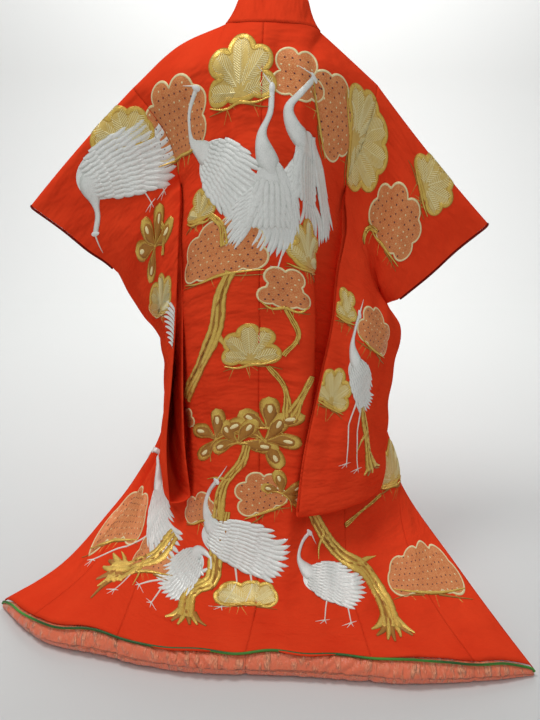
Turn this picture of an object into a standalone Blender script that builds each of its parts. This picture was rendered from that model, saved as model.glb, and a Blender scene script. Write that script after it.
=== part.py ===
"""An uchikake, the padded-hem wedding kimono, filled out with no wearer and its train spread behind it.

Metres, +Z up. The decorated back faces -Y, the wearer would face +Y and the wearer's right is +X.
The origin is where the garment is held: between the shoulders, at the base of the neck. The tables
below count heights from the floor that the hem lies on, and every piece is then let down by
HOLD_HEIGHT. Cloth lengths run down from the shoulder fold ("down") and out from the centre back
seam ("out").
"""

import math

import bpy
import numpy as np

HOLD_HEIGHT = 1.430  # from the floor to the shoulders at the neck
SEAM_GAP = 0.0004  # between the edges of two pieces sewn together
CLOTH = 0.0026  # wall of the lined body and sleeves
COLLAR_CLOTH = 0.0042  # wall of the folded collar band

BACK_WIDTH = 0.300
FRONT_WIDTH = 0.240
OKUMI_WIDTH = 0.155
OKUMI_TOP = 0.270  # down from the shoulder to the okumi's point
OKUMI_FULL = 0.950  # down to where the okumi has its full width and the collar ends
ARMHOLE = 0.225  # length of the seam between body and sleeve
ARMHOLE_CLOSE = 0.030  # length over which the armhole narrows into the side seam
SLEEVE_FOLLOWS = 0.080  # width over which the sleeve still follows the edge of the body's armhole
HALF_GAP = 0.010  # half the space between back and front at the armhole and in the sleeves
FOLD_ROUND = 0.014  # over this length two layers come together at a fold or a closed edge
FOLD_ROUND_ROW = 0.3  # share of that length at which a sleeve has one more row
FOLD_FADE = 1.3  # above 1, the folds in the cloth die out more slowly at their ends

BACK_COLUMNS = 12
NECK_COLUMNS = 4  # of the back's columns, those under the collar
FRONT_COLUMNS = BACK_COLUMNS - NECK_COLUMNS
OKUMI_COLUMNS = 4
FIRST_ROW = 0.0006  # the body has one more row this far from the shoulder fold, so that it lies level
ARMHOLE_ROWS = (0.0, 0.0033, 0.0081, 0.014, 0.040, 0.080, 0.125, 0.175, ARMHOLE)
HEM_DOWN = 1.62
BODY_ROWS = 22  # from the armhole to the hem
BODY_OUT = np.concatenate(
    [
        np.linspace(0.0, BACK_WIDTH, BACK_COLUMNS + 1),
        BACK_WIDTH + np.linspace(0.0, FRONT_WIDTH, FRONT_COLUMNS + 1)[1:],
        BACK_WIDTH + FRONT_WIDTH + np.linspace(0.0, OKUMI_WIDTH, OKUMI_COLUMNS + 1)[1:],
    ]
)
SECTION_POINTS = 61
EASE_POINTS = 13  # of SECTION_POINTS, those over which the front's bends are rounded
SEAM_TURN_MOST = 0.6  # tangent of half the sharpest angle that seams leave room for
SEAM_TURN = 0.040  # past the side seam, over this length the front goes on the way the back came
SEAM_TURN_SETS_IN = (0.16, 0.30)  # between these places down
SEAM_TURN_LEAN = 0.3  # how much it leans to the front's outermost fold over that length
BACK_TURN = 48.0  # degrees from the centre back's level out to its side seam's, at the shoulder
# How that turn changes: from and to "down", then by how many degrees.
BACK_TURN_CHANGES = (
    (0.22, 0.50, 37.0),
    (0.90, 1.50, -62.0),
)

# The centre back seam: down, then x, y and height of its point.
CENTRE_BACK = (
    (0.00, 0.005, -0.060, 1.448),
    (0.05, 0.003, -0.083, 1.402),
    (0.12, 0.001, -0.104, 1.335),
    (0.22, 0.000, -0.122, 1.237),
    (0.40, -0.003, -0.135, 1.058),
    (0.60, -0.006, -0.142, 0.858),
    (0.80, -0.008, -0.150, 0.658),
    (1.00, -0.009, -0.165, 0.459),
    (1.15, -0.009, -0.192, 0.312),
    (1.30, -0.010, -0.250, 0.173),
    (1.43, -0.016, -0.330, 0.100),
    (1.54, -0.028, -0.408, 0.080),
    (1.62, -0.040, -0.473, 0.074),
)
# Each side: down, then x, y and height of the side seam, of the front panel's outermost fold and of
# the front edge.
LEFT_SIDE = (
    (0.00, (-0.293, 0.000, 1.298), (-0.190, 0.000, 1.387), (-0.080, 0.000, 1.436)),
    (0.05, (-0.262, 0.000, 1.256), (-0.172, 0.032, 1.348), (-0.080, 0.040, 1.398)),
    (0.12, (-0.218, 0.006, 1.188), (-0.160, 0.056, 1.270), (-0.078, 0.070, 1.330)),
    (0.22, (-0.198, 0.018, 1.084), (-0.152, 0.080, 1.165), (-0.074, 0.096, 1.238)),
    (0.40, (-0.213, 0.044, 0.905), (-0.165, 0.112, 0.982), (-0.068, 0.126, 1.058)),
    (0.60, (-0.218, 0.058, 0.705), (-0.168, 0.140, 0.785), (-0.064, 0.154, 0.862)),
    (0.80, (-0.216, 0.062, 0.510), (-0.175, 0.158, 0.590), (-0.080, 0.180, 0.668)),
    (1.00, (-0.211, 0.048, 0.335), (-0.205, 0.162, 0.410), (-0.135, 0.214, 0.487)),
    (1.15, (-0.234, 0.018, 0.220), (-0.268, 0.126, 0.276), (-0.266, 0.228, 0.338)),
    (1.30, (-0.276, -0.060, 0.158), (-0.321, 0.024, 0.192), (-0.328, 0.136, 0.238)),
    (1.43, (-0.312, -0.176, 0.102), (-0.382, -0.096, 0.116), (-0.420, 0.030, 0.142)),
    (1.54, (-0.335, -0.301, 0.080), (-0.458, -0.237, 0.077), (-0.552, -0.126, 0.052)),
    (1.62, (-0.350, -0.418, 0.074), (-0.523, -0.368, 0.074), (-0.680, -0.222, 0.014)),
)
RIGHT_SIDE = (
    (0.00, (0.262, 0.000, 1.304), (0.195, 0.000, 1.363), (0.130, 0.000, 1.419)),
    (0.05, (0.256, 0.000, 1.256), (0.184, 0.032, 1.325), (0.116, 0.040, 1.384)),
    (0.12, (0.238, 0.006, 1.180), (0.176, 0.056, 1.256), (0.104, 0.070, 1.320)),
    (0.22, (0.202, 0.018, 1.078), (0.166, 0.080, 1.156), (0.094, 0.096, 1.232)),
    (0.40, (0.202, 0.048, 0.898), (0.172, 0.112, 0.978), (0.082, 0.126, 1.056)),
    (0.60, (0.218, 0.062, 0.702), (0.192, 0.138, 0.782), (0.076, 0.154, 0.860)),
    (0.80, (0.236, 0.056, 0.520), (0.230, 0.140, 0.600), (0.088, 0.182, 0.672)),
    (1.00, (0.234, 0.005, 0.370), (0.318, 0.094, 0.430), (0.190, 0.192, 0.500)),
    (1.15, (0.218, -0.090, 0.262), (0.364, 0.014, 0.285), (0.310, 0.130, 0.350)),
    (1.30, (0.210, -0.205, 0.172), (0.380, -0.104, 0.184), (0.388, -0.012, 0.222)),
    (1.43, (0.222, -0.314, 0.108), (0.424, -0.237, 0.118), (0.486, -0.169, 0.126)),
    (1.54, (0.243, -0.417, 0.080), (0.447, -0.381, 0.080), (0.573, -0.332, 0.062)),
    (1.62, (0.256, -0.495, 0.074), (0.450, -0.500, 0.074), (0.650, -0.474, 0.014)),
)
# Folds in the body: side, top and bottom "down", then "out" at the top and at the bottom, width and
# height. A height below nought is a valley.
FOLDS = (
    (1, 0.40, 1.45, 0.090, 0.085, 0.045, 0.018),
    (1, 0.20, 1.45, 0.180, 0.150, 0.050, -0.060),
    (-1, 0.20, 1.10, 0.215, 0.180, 0.050, 0.006),
    (-1, 0.10, 0.75, 0.115, 0.100, 0.040, -0.012),
    (1, 0.08, 0.60, 0.150, 0.110, 0.035, -0.012),
    (-1, 0.30, 1.45, 0.375, 0.385, 0.032, 0.009),
    (-1, 0.30, 1.45, 0.450, 0.455, 0.032, -0.010),
    (1, 0.30, 1.40, 0.360, 0.380, 0.032, 0.009),
    (1, 0.30, 1.40, 0.430, 0.440, 0.032, -0.009),
    (-1, 1.10, 1.60, 0.110, 0.130, 0.035, 0.010),
    (-1, 1.05, 1.60, 0.210, 0.240, 0.035, -0.010),
    (1, 1.20, 1.60, 0.300, 0.330, 0.040, 0.012),
    (1, 1.15, 1.60, 0.380, 0.400, 0.035, -0.010),
    (-1, 0.70, 1.60, 0.610, 0.628, 0.027, -0.026),
)

SLEEVE_WIDTH = 0.335
SLEEVE_LENGTH = 1.070
CUFF = 0.250  # length of the cuff's opening
SLEEVE_CORNER = 0.050  # radius of the lower outer corner
SLEEVE_SEAM_ROOM = 0.0014  # more room at the armhole, where the walls meet at an angle
CUFF_CLOSE = 0.020  # length over which the cuff's opening closes
SLEEVE_OUT = 11  # columns inside the rounded edges
SLEEVE_DOWN = 17  # rows below the cuff
# Each sleeve: down, then the inner edge, the outer edge and the bow of the cloth between them, each
# as x, y and height, and how far the inner edges stand apart beyond HALF_GAP.
LEFT_SLEEVE = (
    (0.00, (-0.293, 0.000, 1.298), (-0.552, 0.000, 1.024), (-0.003, 0.000, 0.003), 0.000),
    (0.08, (-0.240, 0.003, 1.230), (-0.488, 0.000, 0.973), (0.000, -0.004, 0.000), 0.000),
    (0.16, (-0.206, 0.010, 1.148), (-0.428, 0.004, 0.918), (-0.006, -0.008, 0.004), 0.000),
    (0.25, (-0.201, 0.000, 1.050), (-0.366, 0.012, 0.862), (-0.010, -0.014, 0.006), 0.000),
    (0.33, (-0.205, -0.020, 0.968), (-0.338, 0.052, 0.778), (-0.010, -0.022, 0.000), 0.000),
    (0.42, (-0.206, -0.038, 0.880), (-0.304, 0.112, 0.690), (-0.010, -0.030, 0.000), 0.000),
    (0.55, (-0.206, -0.054, 0.748), (-0.274, 0.180, 0.605), (-0.014, -0.016, 0.000), 0.000),
    (0.70, (-0.220, -0.060, 0.598), (-0.268, 0.215, 0.530), (-0.008, -0.005, 0.000), 0.004),
    (0.90, (-0.230, -0.082, 0.404), (-0.262, 0.226, 0.470), (-0.014, 0.000, -0.030), 0.014),
    (1.07, (-0.218, -0.106, 0.250), (-0.256, 0.222, 0.430), (-0.034, 0.000, -0.070), 0.020),
)
RIGHT_SLEEVE = (
    (0.00, (0.262, 0.000, 1.304), (0.542, 0.000, 0.979), (-0.003, 0.000, -0.004), 0.000),
    (0.08, (0.252, 0.002, 1.228), (0.472, 0.000, 0.917), (0.000, -0.004, 0.000), 0.000),
    (0.16, (0.224, 0.010, 1.138), (0.408, 0.000, 0.855), (0.004, -0.010, 0.000), 0.000),
    (0.25, (0.202, 0.010, 1.040), (0.338, 0.000, 0.788), (0.008, -0.012, 0.000), 0.000),
    (0.33, (0.196, -0.026, 0.960), (0.310, 0.040, 0.748), (0.010, -0.014, 0.000), 0.000),
    (0.42, (0.181, -0.050, 0.875), (0.342, 0.006, 0.700), (0.014, -0.012, 0.000), 0.000),
    (0.55, (0.169, -0.085, 0.750), (0.332, 0.004, 0.615), (0.020, -0.020, 0.000), 0.000),
    (0.70, (0.138, -0.130, 0.605), (0.320, -0.020, 0.500), (0.012, -0.024, 0.000), 0.000),
    (0.90, (0.101, -0.190, 0.425), (0.318, -0.060, 0.380), (0.008, -0.026, 0.000), 0.002),
    (1.07, (0.085, -0.240, 0.295), (0.312, -0.090, 0.282), (0.006, -0.026, 0.000), 0.006),
)
# Folds in the sleeves: side, top and bottom "down", "out" at the top and bottom, width and height.
SLEEVE_FOLDS = (
    (1, 0.02, 0.46, 0.035, 0.270, 0.038, -0.022),
    (1, 0.35, 0.95, 0.110, 0.150, 0.040, 0.010),
    (-1, 0.15, 0.60, 0.030, 0.240, 0.040, -0.010),
)

COLLAR_WIDTH = 0.062
COLLAR_END = 0.960  # down to its lower end
COLLAR_STEPS = 18  # down each front
COLLAR_FIRST = 0.012  # down to the first of them
COLLAR_ACROSS = 3
COLLAR_SETTLES = 0.200  # down to where it lies in line with the front
COLLAR_SEAM_ROOM = 0.0016
# The collar's stance: along (0 at the nape, 1 at the side of the neck, 2 at the shoulder's front and
# 3 from there on), then its lean inward, its lean forward and its rise.
COLLAR_STANCE = (
    (0.0, 0.00, 0.62, 0.95),
    (1.0, 0.66, 0.12, 0.72),
    (1.5, 0.90, 0.12, 0.30),
    (2.0, 0.97, 0.10, 0.05),
    (3.0, 1.00, 0.02, 0.00),
)

ROLL_RADIUS = 0.0360
ROLL_END_RADIUS = 0.006  # at the corners of the hem
ROLL_TAPER = 0.300  # length over which the roll grows from a corner
ROLL_SIDES = 10
PIPING_RADIUS = 0.0030
PIPING_TURN = 74.0  # degrees up from level at which the piping lies on the roll
PIPING_ROOM = 0.0008  # between the piping and the roll
PIPING_SIDES = 6
CUFF_EDGE_RADIUS = 0.0028
CUFF_EDGE_ROOM = 0.0024  # between the edge roll and the sleeve
CUFF_EDGE_SIDES = 6

VERMILION = (0.62, 0.035, 0.012, 1.0)
CORAL = (0.72, 0.13, 0.06, 1.0)
GREEN = (0.03, 0.25, 0.03, 1.0)
MAROON = (0.16, 0.02, 0.015, 1.0)


def smoothstep(low, high, x):
    t = np.clip((np.asarray(x, float) - low) / (high - low), 0.0, 1.0)
    return t * t * (3.0 - 2.0 * t)


def through(keys, values, at):
    """A smooth curve through values at rising keys, read at the places in at."""
    keys, values, at = np.asarray(keys, float), np.asarray(values, float), np.asarray(at, float)
    steps = np.diff(keys)
    shape = (-1,) + (1,) * (values.ndim - 1)
    slopes = np.diff(values, axis=0) / steps.reshape(shape)
    inner = (slopes[:-1] * steps[1:].reshape(shape) + slopes[1:] * steps[:-1].reshape(shape)) / (
        steps[:-1] + steps[1:]
    ).reshape(shape)
    tangents = np.concatenate([slopes[:1], inner, slopes[-1:]])
    i = np.clip(np.searchsorted(keys, at, side="right") - 1, 0, len(steps) - 1)
    h = steps[i].reshape(shape)
    t = ((at - keys[i]) / steps[i]).reshape(shape)
    return (
        (2 * t**3 - 3 * t**2 + 1) * values[i]
        + (t**3 - 2 * t**2 + t) * h * tangents[i]
        + (3 * t**2 - 2 * t**3) * values[i + 1]
        + (t**3 - t**2) * h * tangents[i + 1]
    )


def lengths(points):
    """How far along a line each of its points is."""
    return np.concatenate([[0.0], np.cumsum(np.linalg.norm(np.diff(points, axis=0), axis=1))])


def spaced(points, shares):
    """Points at the given shares of a line's length."""
    along = lengths(points)
    return np.stack([np.interp(np.asarray(shares) * along[-1], along, points[:, k]) for k in range(3)], 1)


def eased(line):
    """The line with its bends rounded and its ends kept."""
    weight = np.hanning(EASE_POINTS + 2)[1:-1]
    half = EASE_POINTS // 2
    before, after = 2 * line[0] - line[half:0:-1], 2 * line[-1] - line[-2 : -2 - half : -1]
    wide = np.concatenate([before, line, after])
    return np.stack([np.convolve(wide[:, k], weight / weight.sum(), "valid") for k in range(3)], 1)


def unit(v):
    return v / np.maximum(np.linalg.norm(v, axis=-1, keepdims=True), 1e-12)


def normals(grid):
    """The direction across the cloth at each point of a grid of points."""
    return unit(np.cross(np.gradient(grid, axis=1), np.gradient(grid, axis=0)))


def back_section(centre, side, down):
    """From the centre back seam to the side seam, rounding forward."""
    turn = BACK_TURN + sum(by * smoothstep(top, end, down) for top, end, by in BACK_TURN_CHANGES)
    a = np.linspace(0.0, math.radians(float(turn)), SECTION_POINTS)
    x = np.sin(a) / np.sin(a[-1])
    y = (1.0 - np.cos(a)) / (1.0 - np.cos(a[-1]))
    return centre + (side - centre) * np.stack([x, y, y], 1)


def shoulder_section(centre, side, fold, neck):
    """The back's top edge: round the neck, then along the shoulder fold."""
    a = np.linspace(0.0, math.pi / 2, SECTION_POINTS)
    curve = centre + (neck - centre) * np.stack([np.sin(a), 1.0 - np.cos(a), 1.0 - np.cos(a)], 1)
    neck_part = spaced(curve, np.linspace(0.0, 1.0, NECK_COLUMNS + 1))
    slope = through([0.0, 1.0, 2.0], [neck, fold, side], np.linspace(0.0, 2.0, SECTION_POINTS))
    return np.concatenate([neck_part, spaced(slope, np.linspace(0.0, 1.0, FRONT_COLUMNS + 1))[1:]])


def okumi_width(down):
    share = (np.asarray(down, float) - OKUMI_TOP) / (OKUMI_FULL - OKUMI_TOP)
    return OKUMI_WIDTH * np.clip(share, 0.0, 1.0)


def roll_radius(out):
    """The padded hem's radius, which grows from the corner of the hem."""
    corner = BACK_WIDTH + FRONT_WIDTH + OKUMI_WIDTH
    grown = np.sqrt(np.clip((corner - np.asarray(out, float)) / ROLL_TAPER, 0.0, 1.0))
    return ROLL_END_RADIUS + (ROLL_RADIUS - ROLL_END_RADIUS) * grown


def closing(distance, radius):
    """From 0 at a rounded closed edge to 1 past its rounding."""
    return np.sqrt(1.0 - (1.0 - np.clip(distance / radius, 0.0, 1.0)) ** 2)


def part_layers(points, downs, share, way):
    """Moves back or front off the fold they share at the shoulder and the armhole."""
    parted = way * HALF_GAP * closing(downs, FOLD_ROUND)[:, None] * share
    points = points.copy()
    points[..., 1] += parted
    return points


def fold_height(folds, side, out, down):
    """How far the folds move the cloth along its normal."""
    height = np.zeros(np.broadcast(out, down).shape)
    for fold_side, top, bottom, out_top, out_bottom, width, fold in folds:
        if fold_side != side:
            continue
        share = np.clip((down - top) / (bottom - top), 0.0, 1.0)
        centre = out_top + (out_bottom - out_top) * share
        fade = np.sin(math.pi * share) ** FOLD_FADE
        height = height + fold * fade * np.exp(-(((out - centre) / width) ** 2))
    return height


def body(side, downs):
    """The back, front and overlap panel of one side as grids of points, with a row for each of downs."""
    table = LEFT_SIDE if side < 0 else RIGHT_SIDE
    keys = np.array([row[0] for row in table])
    centres = np.array([row[1:] for row in CENTRE_BACK])
    seam, fold, edge = (np.array([row[k] for row in table]) for k in (1, 2, 3))
    backs, fronts, okumis = [], [], []
    for k, down in enumerate(keys):
        section = back_section(centres[k], seam[k], down)
        backs.append(spaced(section, np.linspace(0.0, 1.0, BACK_COLUMNS + 1)))
        onward = unit(unit(section[-1] - section[-2]) + SEAM_TURN_LEAN * unit(fold[k] - seam[k]))
        stops = [seam[k], fold[k], edge[k]]
        if down > SEAM_TURN_SETS_IN[0]:
            stops.insert(1, seam[k] + SEAM_TURN * smoothstep(*SEAM_TURN_SETS_IN, down) * onward)
        stops = np.array(stops)
        line = through(lengths(stops), stops, np.linspace(0.0, lengths(stops)[-1], SECTION_POINTS))
        line = eased(line)
        share = FRONT_WIDTH / (FRONT_WIDTH + float(okumi_width(down)))
        fronts.append(spaced(line, share * np.linspace(0.0, 1.0, FRONT_COLUMNS + 1)))
        okumi = share + (1.0 - share) * np.linspace(0.0, 1.0, OKUMI_COLUMNS + 1)
        okumis.append(spaced(line, okumi))
    backs[0] = shoulder_section(centres[0], seam[0], fold[0], edge[0])
    sections = np.concatenate([np.array(backs), np.array(fronts)[:, 1:], np.array(okumis)[:, 1:]], axis=1)
    sections[-1, :, 2] = 2.0 * roll_radius(BODY_OUT) + CLOTH / 2 + SEAM_GAP
    points = through(keys, sections, downs)
    columns = np.arange(len(BODY_OUT))
    share = smoothstep(NECK_COLUMNS - 2, NECK_COLUMNS, columns)
    by_seam = 1.0 - smoothstep(0.0, BACK_WIDTH / 2, np.abs(BODY_OUT - BACK_WIDTH))
    share = share * (1.0 - smoothstep(ARMHOLE, ARMHOLE + ARMHOLE_CLOSE, downs)[:, None] * by_seam)
    lift = fold_height(FOLDS, side, BODY_OUT[None, :], downs[:, None])
    points = points - side * normals(points) * lift[..., None]
    back, rest = points[:, : BACK_COLUMNS + 1], points[:, BACK_COLUMNS:]
    back = part_layers(back, downs, share[:, : BACK_COLUMNS + 1], -1.0)
    rest = part_layers(rest, downs, share[:, BACK_COLUMNS:], 1.0)
    okumi = rest[downs >= OKUMI_TOP, FRONT_COLUMNS:]
    return {"back": back, "front": rest[:, : FRONT_COLUMNS + 1], "okumi": okumi}


def body_rows():
    """How far down from the shoulder the body's rows of points are."""
    below = np.linspace(ARMHOLE, HEM_DOWN, BODY_ROWS + 1)[1:]
    return np.sort(np.concatenate([ARMHOLE_ROWS, [FIRST_ROW], below]))


def inset(grid, left=0.0, right=0.0, top=0.0, bottom=0.0):
    """Draws the edges of a grid of points in by the given lengths."""
    grid = grid.copy()
    columns = grid.swapaxes(0, 1)
    for view, amount in ((columns, left), (columns[::-1], right), (grid, top), (grid[::-1], bottom)):
        if np.any(amount):
            along = unit(np.gradient(view[0], axis=0))
            inward = view[1] - view[0]
            inward = unit(inward - along * (inward * along).sum(axis=1, keepdims=True))
            view[0] += inward * np.reshape(amount, (-1, 1))
    return grid


def seam_room(before, edge, after):
    """How far a panel's edge is drawn in at a seam, more where its neighbour turns away from it."""
    u, v = unit(edge - before), unit(after - edge)
    turned = np.linalg.norm(u - v, axis=-1) / np.maximum(np.linalg.norm(u + v, axis=-1), 1e-9)
    return SEAM_GAP / 2 + CLOTH / 2 * np.minimum(turned, SEAM_TURN_MOST)


def sleeve_spacing():
    """The sleeve's places out from the body and down from its top fold."""
    edge = np.array([FOLD_ROUND, FOLD_ROUND_ROW * FOLD_ROUND, FIRST_ROW, 0.0])
    out = [*np.linspace(0.0, SLEEVE_WIDTH - FOLD_ROUND, SLEEVE_OUT), *(SLEEVE_WIDTH - edge)[1:]]
    lower = np.linspace(CUFF + CUFF_CLOSE, SLEEVE_LENGTH - FOLD_ROUND, SLEEVE_DOWN)
    downs = [*ARMHOLE_ROWS, FIRST_ROW, CUFF, *lower, *(SLEEVE_LENGTH - edge)[1:]]
    return np.array(out), np.sort(downs)


def sleeve(side):
    """The back and front layer of one sleeve as grids of points."""
    table = LEFT_SLEEVE if side < 0 else RIGHT_SLEEVE
    out, downs = sleeve_spacing()
    keys = [row[0] for row in table]
    inner, outer, bow = (np.array([row[k] for row in table]) for k in (1, 2, 3))
    past = np.clip((out - (SLEEVE_WIDTH - SLEEVE_CORNER)) / SLEEVE_CORNER, 0.0, 1.0)[None, :]
    below = np.clip((downs - (SLEEVE_LENGTH - SLEEVE_CORNER)) / SLEEVE_CORNER, 0.0, 1.0)[:, None]
    across = out[None, :] - SLEEVE_CORNER * past * (1.0 - np.sqrt(1.0 - below**2 / 2))
    along = downs[:, None] - SLEEVE_CORNER * below * (1.0 - np.sqrt(1.0 - past**2 / 2))
    share = (across / SLEEVE_WIDTH)[..., None]
    start, end, curve = (
        through(keys, v, along.ravel()).reshape(*along.shape, 3) for v in (inner, outer, bow)
    )
    middle = start + (end - start) * share + 4.0 * share * (1.0 - share) * curve
    backward = -side * normals(middle)
    lift = fold_height(SLEEVE_FOLDS, side, out[None, :], downs[:, None])
    middle = middle + backward * lift[..., None]
    apart = through(keys, [row[4] for row in table], downs)[:, None]
    apart = HALF_GAP + apart * (1.0 - out[None, :] / SLEEVE_WIDTH) ** 2
    closed = smoothstep(CUFF, CUFF + CUFF_CLOSE, downs)[:, None]
    apart = apart * (1.0 - closed * (1.0 - closing(SLEEVE_WIDTH - out, FOLD_ROUND)[None, :]))
    apart = apart * closing(downs, FOLD_ROUND)[:, None]
    apart = apart * closing(SLEEVE_LENGTH - downs, FOLD_ROUND)[:, None]
    back = middle + backward * apart[..., None]
    front = middle - backward * apart[..., None]
    panels = body(side, downs[downs <= ARMHOLE])
    for layer, edge in ((back, panels["back"][:, -1]), (front, panels["front"][:, 0])):
        step = np.zeros_like(layer[:, 0])
        step[: len(edge)] = edge - layer[: len(edge), 0]
        step[0] = 0.0
        fade = 1.0 - smoothstep(0.0, SLEEVE_FOLLOWS, out)
        layer += step[:, None, :] * fade[None, :, None]
    return back, front


def new_object(name, mesh, material):
    made = bpy.data.objects.new(name, mesh)
    bpy.context.scene.collection.objects.link(made)
    mesh.materials.append(material)
    mesh.shade_smooth()
    return made


def mesh_from(name, points, faces):
    mesh = bpy.data.meshes.new(name)
    lowered = np.asarray(points, float) - np.array([0.0, 0.0, HOLD_HEIGHT])
    mesh.from_pydata([tuple(p) for p in lowered], [], [tuple(int(k) for k in f) for f in faces])
    mesh.update()
    return mesh


def thicken(made, thickness):
    wall = made.modifiers.new("Wall", "SOLIDIFY")
    wall.thickness = thickness
    wall.offset = 0.0
    wall.use_even_offset = True


def grid_faces(index, flip):
    """The quads of a grid of vertex numbers."""
    faces = []
    for i in range(index.shape[0] - 1):
        for j in range(index.shape[1] - 1):
            quad = [index[i, j], index[i + 1, j], index[i + 1, j + 1], index[i, j + 1]]
            faces.append(quad[::-1] if flip else quad)
    return faces


def cloth_panel(name, grid, material, thickness=CLOTH, flip=False):
    index = np.arange(grid.shape[0] * grid.shape[1]).reshape(grid.shape[:2])
    mesh = mesh_from(name, grid.reshape(-1, 3), grid_faces(index, flip))
    thicken(new_object(name, mesh, material), thickness)


def sleeve_panels(which, side, material):
    """One sleeve: two layers that meet at the top fold, the bottom and the outer edge below the cuff."""
    _, downs = sleeve_spacing()
    closed = np.where(downs > CUFF, SEAM_GAP, 0.0)
    for name, layer, flip in zip(("back", "front"), sleeve(side), (side > 0, side < 0)):
        layer = inset(layer, SEAM_GAP + SLEEVE_SEAM_ROOM, closed, SEAM_GAP, SEAM_GAP)
        cloth_panel(f"sleeve_{name}_{which}", layer, material, flip=flip)


def tube(name, path, radii, sides, material, aside, above, closed=False):
    """A round bar along a line of points, with flat ends; aside and above are across it."""
    count = len(path)
    a = np.linspace(0.0, 2 * math.pi, sides, endpoint=False)
    ring = np.cos(a)[None, :, None] * aside[:, None] + np.sin(a)[None, :, None] * above[:, None]
    points = path[:, None] + ring * np.broadcast_to(radii, count)[:, None, None]
    index = np.arange(count * sides).reshape(count, sides)
    index = np.concatenate([index, index[:, :1]], axis=1)
    if closed:
        index = np.concatenate([index, index[:1]], axis=0)
    faces = grid_faces(index, False)
    if not closed:
        faces += [list(index[0, :-1]), list(index[-1, :-1][::-1])]
    new_object(name, mesh_from(name, points.reshape(-1, 3), faces), material)


def edge_line(side, downs):
    """The front edge of one side, where the collar is sewn."""
    table = LEFT_SIDE if side < 0 else RIGHT_SIDE
    keys = [row[0] for row in table]
    points = through(keys, [row[3] for row in table], downs)
    return part_layers(points[:, None, :], downs, np.ones(1), 1.0)[:, 0]


def collar_line():
    """The collar's seam from its left end round the neck to its right end, with its stance there."""
    downs = np.array([0.0, *np.linspace(COLLAR_FIRST, COLLAR_END, COLLAR_STEPS)])
    points, stances = [], []
    for side in (-1, 1):
        table = LEFT_SIDE if side < 0 else RIGHT_SIDE
        top = [np.array(point) for point in (CENTRE_BACK[0][1:], *table[0][1:])]
        neckline = shoulder_section(*top)[: NECK_COLUMNS + 1]
        neckline = spaced(neckline, np.linspace(0.0, 1.0, 2 * NECK_COLUMNS + 1))
        line = np.concatenate([neckline, edge_line(side, downs)[1:]])
        stance = np.concatenate(
            [np.linspace(0.0, 1.0, len(neckline)), 1.0 + np.clip(downs[1:] / COLLAR_SETTLES, 0.0, 1.0) * 2.0]
        )
        points.append(line if side > 0 else line[::-1])
        stances.append(stance * side if side > 0 else stance[::-1] * side)
    return np.concatenate([points[0][:-1], points[1]]), np.concatenate([stances[0][:-1], stances[1]])


def collar(material):
    line, stance = collar_line()
    lean = through([row[0] for row in COLLAR_STANCE], [row[1:] for row in COLLAR_STANCE], np.abs(stance))
    lean[:, 0] *= -np.sign(stance)
    ahead = unit(np.gradient(line, axis=0))
    lean = unit(lean - ahead * (lean * ahead).sum(axis=1, keepdims=True))
    steps = SEAM_GAP + COLLAR_SEAM_ROOM + np.linspace(0.0, COLLAR_WIDTH, COLLAR_ACROSS + 1)
    grid = line[:, None] + lean[:, None] * steps[None, :, None]
    nape = len(line) // 2
    for which, half in (("left", grid[nape::-1]), ("right", grid[nape:])):
        cloth_panel(f"collar_{which}", inset(half, top=SEAM_GAP / 2), material, COLLAR_CLOTH)


def hem():
    """The whole bottom edge from the left corner to the right, and how far out each point is."""
    lines = []
    for side in (-1, 1):
        panels = body(side, np.array([OKUMI_FULL, HEM_DOWN]))
        line = np.concatenate([panels["back"][-1], panels["front"][-1][1:], panels["okumi"][-1][1:]])
        lines.append(line if side > 0 else line[::-1])
    return np.concatenate([lines[0][:-1], lines[1]]), np.concatenate([-BODY_OUT[:0:-1], BODY_OUT])


def roll_place():
    """The padded hem's centre line, the way out from it, its radius and how far out its points are."""
    line, out = hem()
    ahead = unit(np.gradient(line, axis=0) * np.array([1.0, 1.0, 0.0]))
    away = np.cross(ahead, [0.0, 0.0, 1.0])
    radius = roll_radius(np.abs(out))
    turn = math.radians(PIPING_TURN)
    under = math.cos(turn) * (radius + PIPING_RADIUS + PIPING_ROOM) - PIPING_RADIUS - PIPING_ROOM
    centre = line - away * under[:, None]
    centre[:, 2] = radius
    return centre, away, radius, out


def hem_rolls(material):
    centre, away, radius, out = roll_place()
    upward = np.broadcast_to([0.0, 0.0, 1.0], away.shape)
    seams = [0.0, BACK_WIDTH, BACK_WIDTH + FRONT_WIDTH, BACK_WIDTH + FRONT_WIDTH + OKUMI_WIDTH]
    for side, which in ((-1, "left"), (1, "right")):
        for low, high, panel in zip(seams[:-1], seams[1:], ("back", "front", "okumi")):
            inside = (out * side > low - FIRST_ROW) & (out * side < high + FIRST_ROW)
            path = centre[inside]
            for end, following in ((0, 1), (-1, -2)):
                path[end] += unit(path[following] - path[end]) * SEAM_GAP / 2
            name = f"hem_roll_{panel}_{which}"
            tube(name, path, radius[inside], ROLL_SIDES, material, away[inside], upward[inside])


def hem_piping(material):
    centre, away, radius, _ = roll_place()
    upward = np.broadcast_to([0.0, 0.0, 1.0], away.shape)
    turn, reach = math.radians(PIPING_TURN), (radius + PIPING_RADIUS + PIPING_ROOM)[:, None]
    path = centre + reach * (away * math.cos(turn) + upward * math.sin(turn))
    tube("hem_piping", path, PIPING_RADIUS, PIPING_SIDES, material, away, upward)


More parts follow.
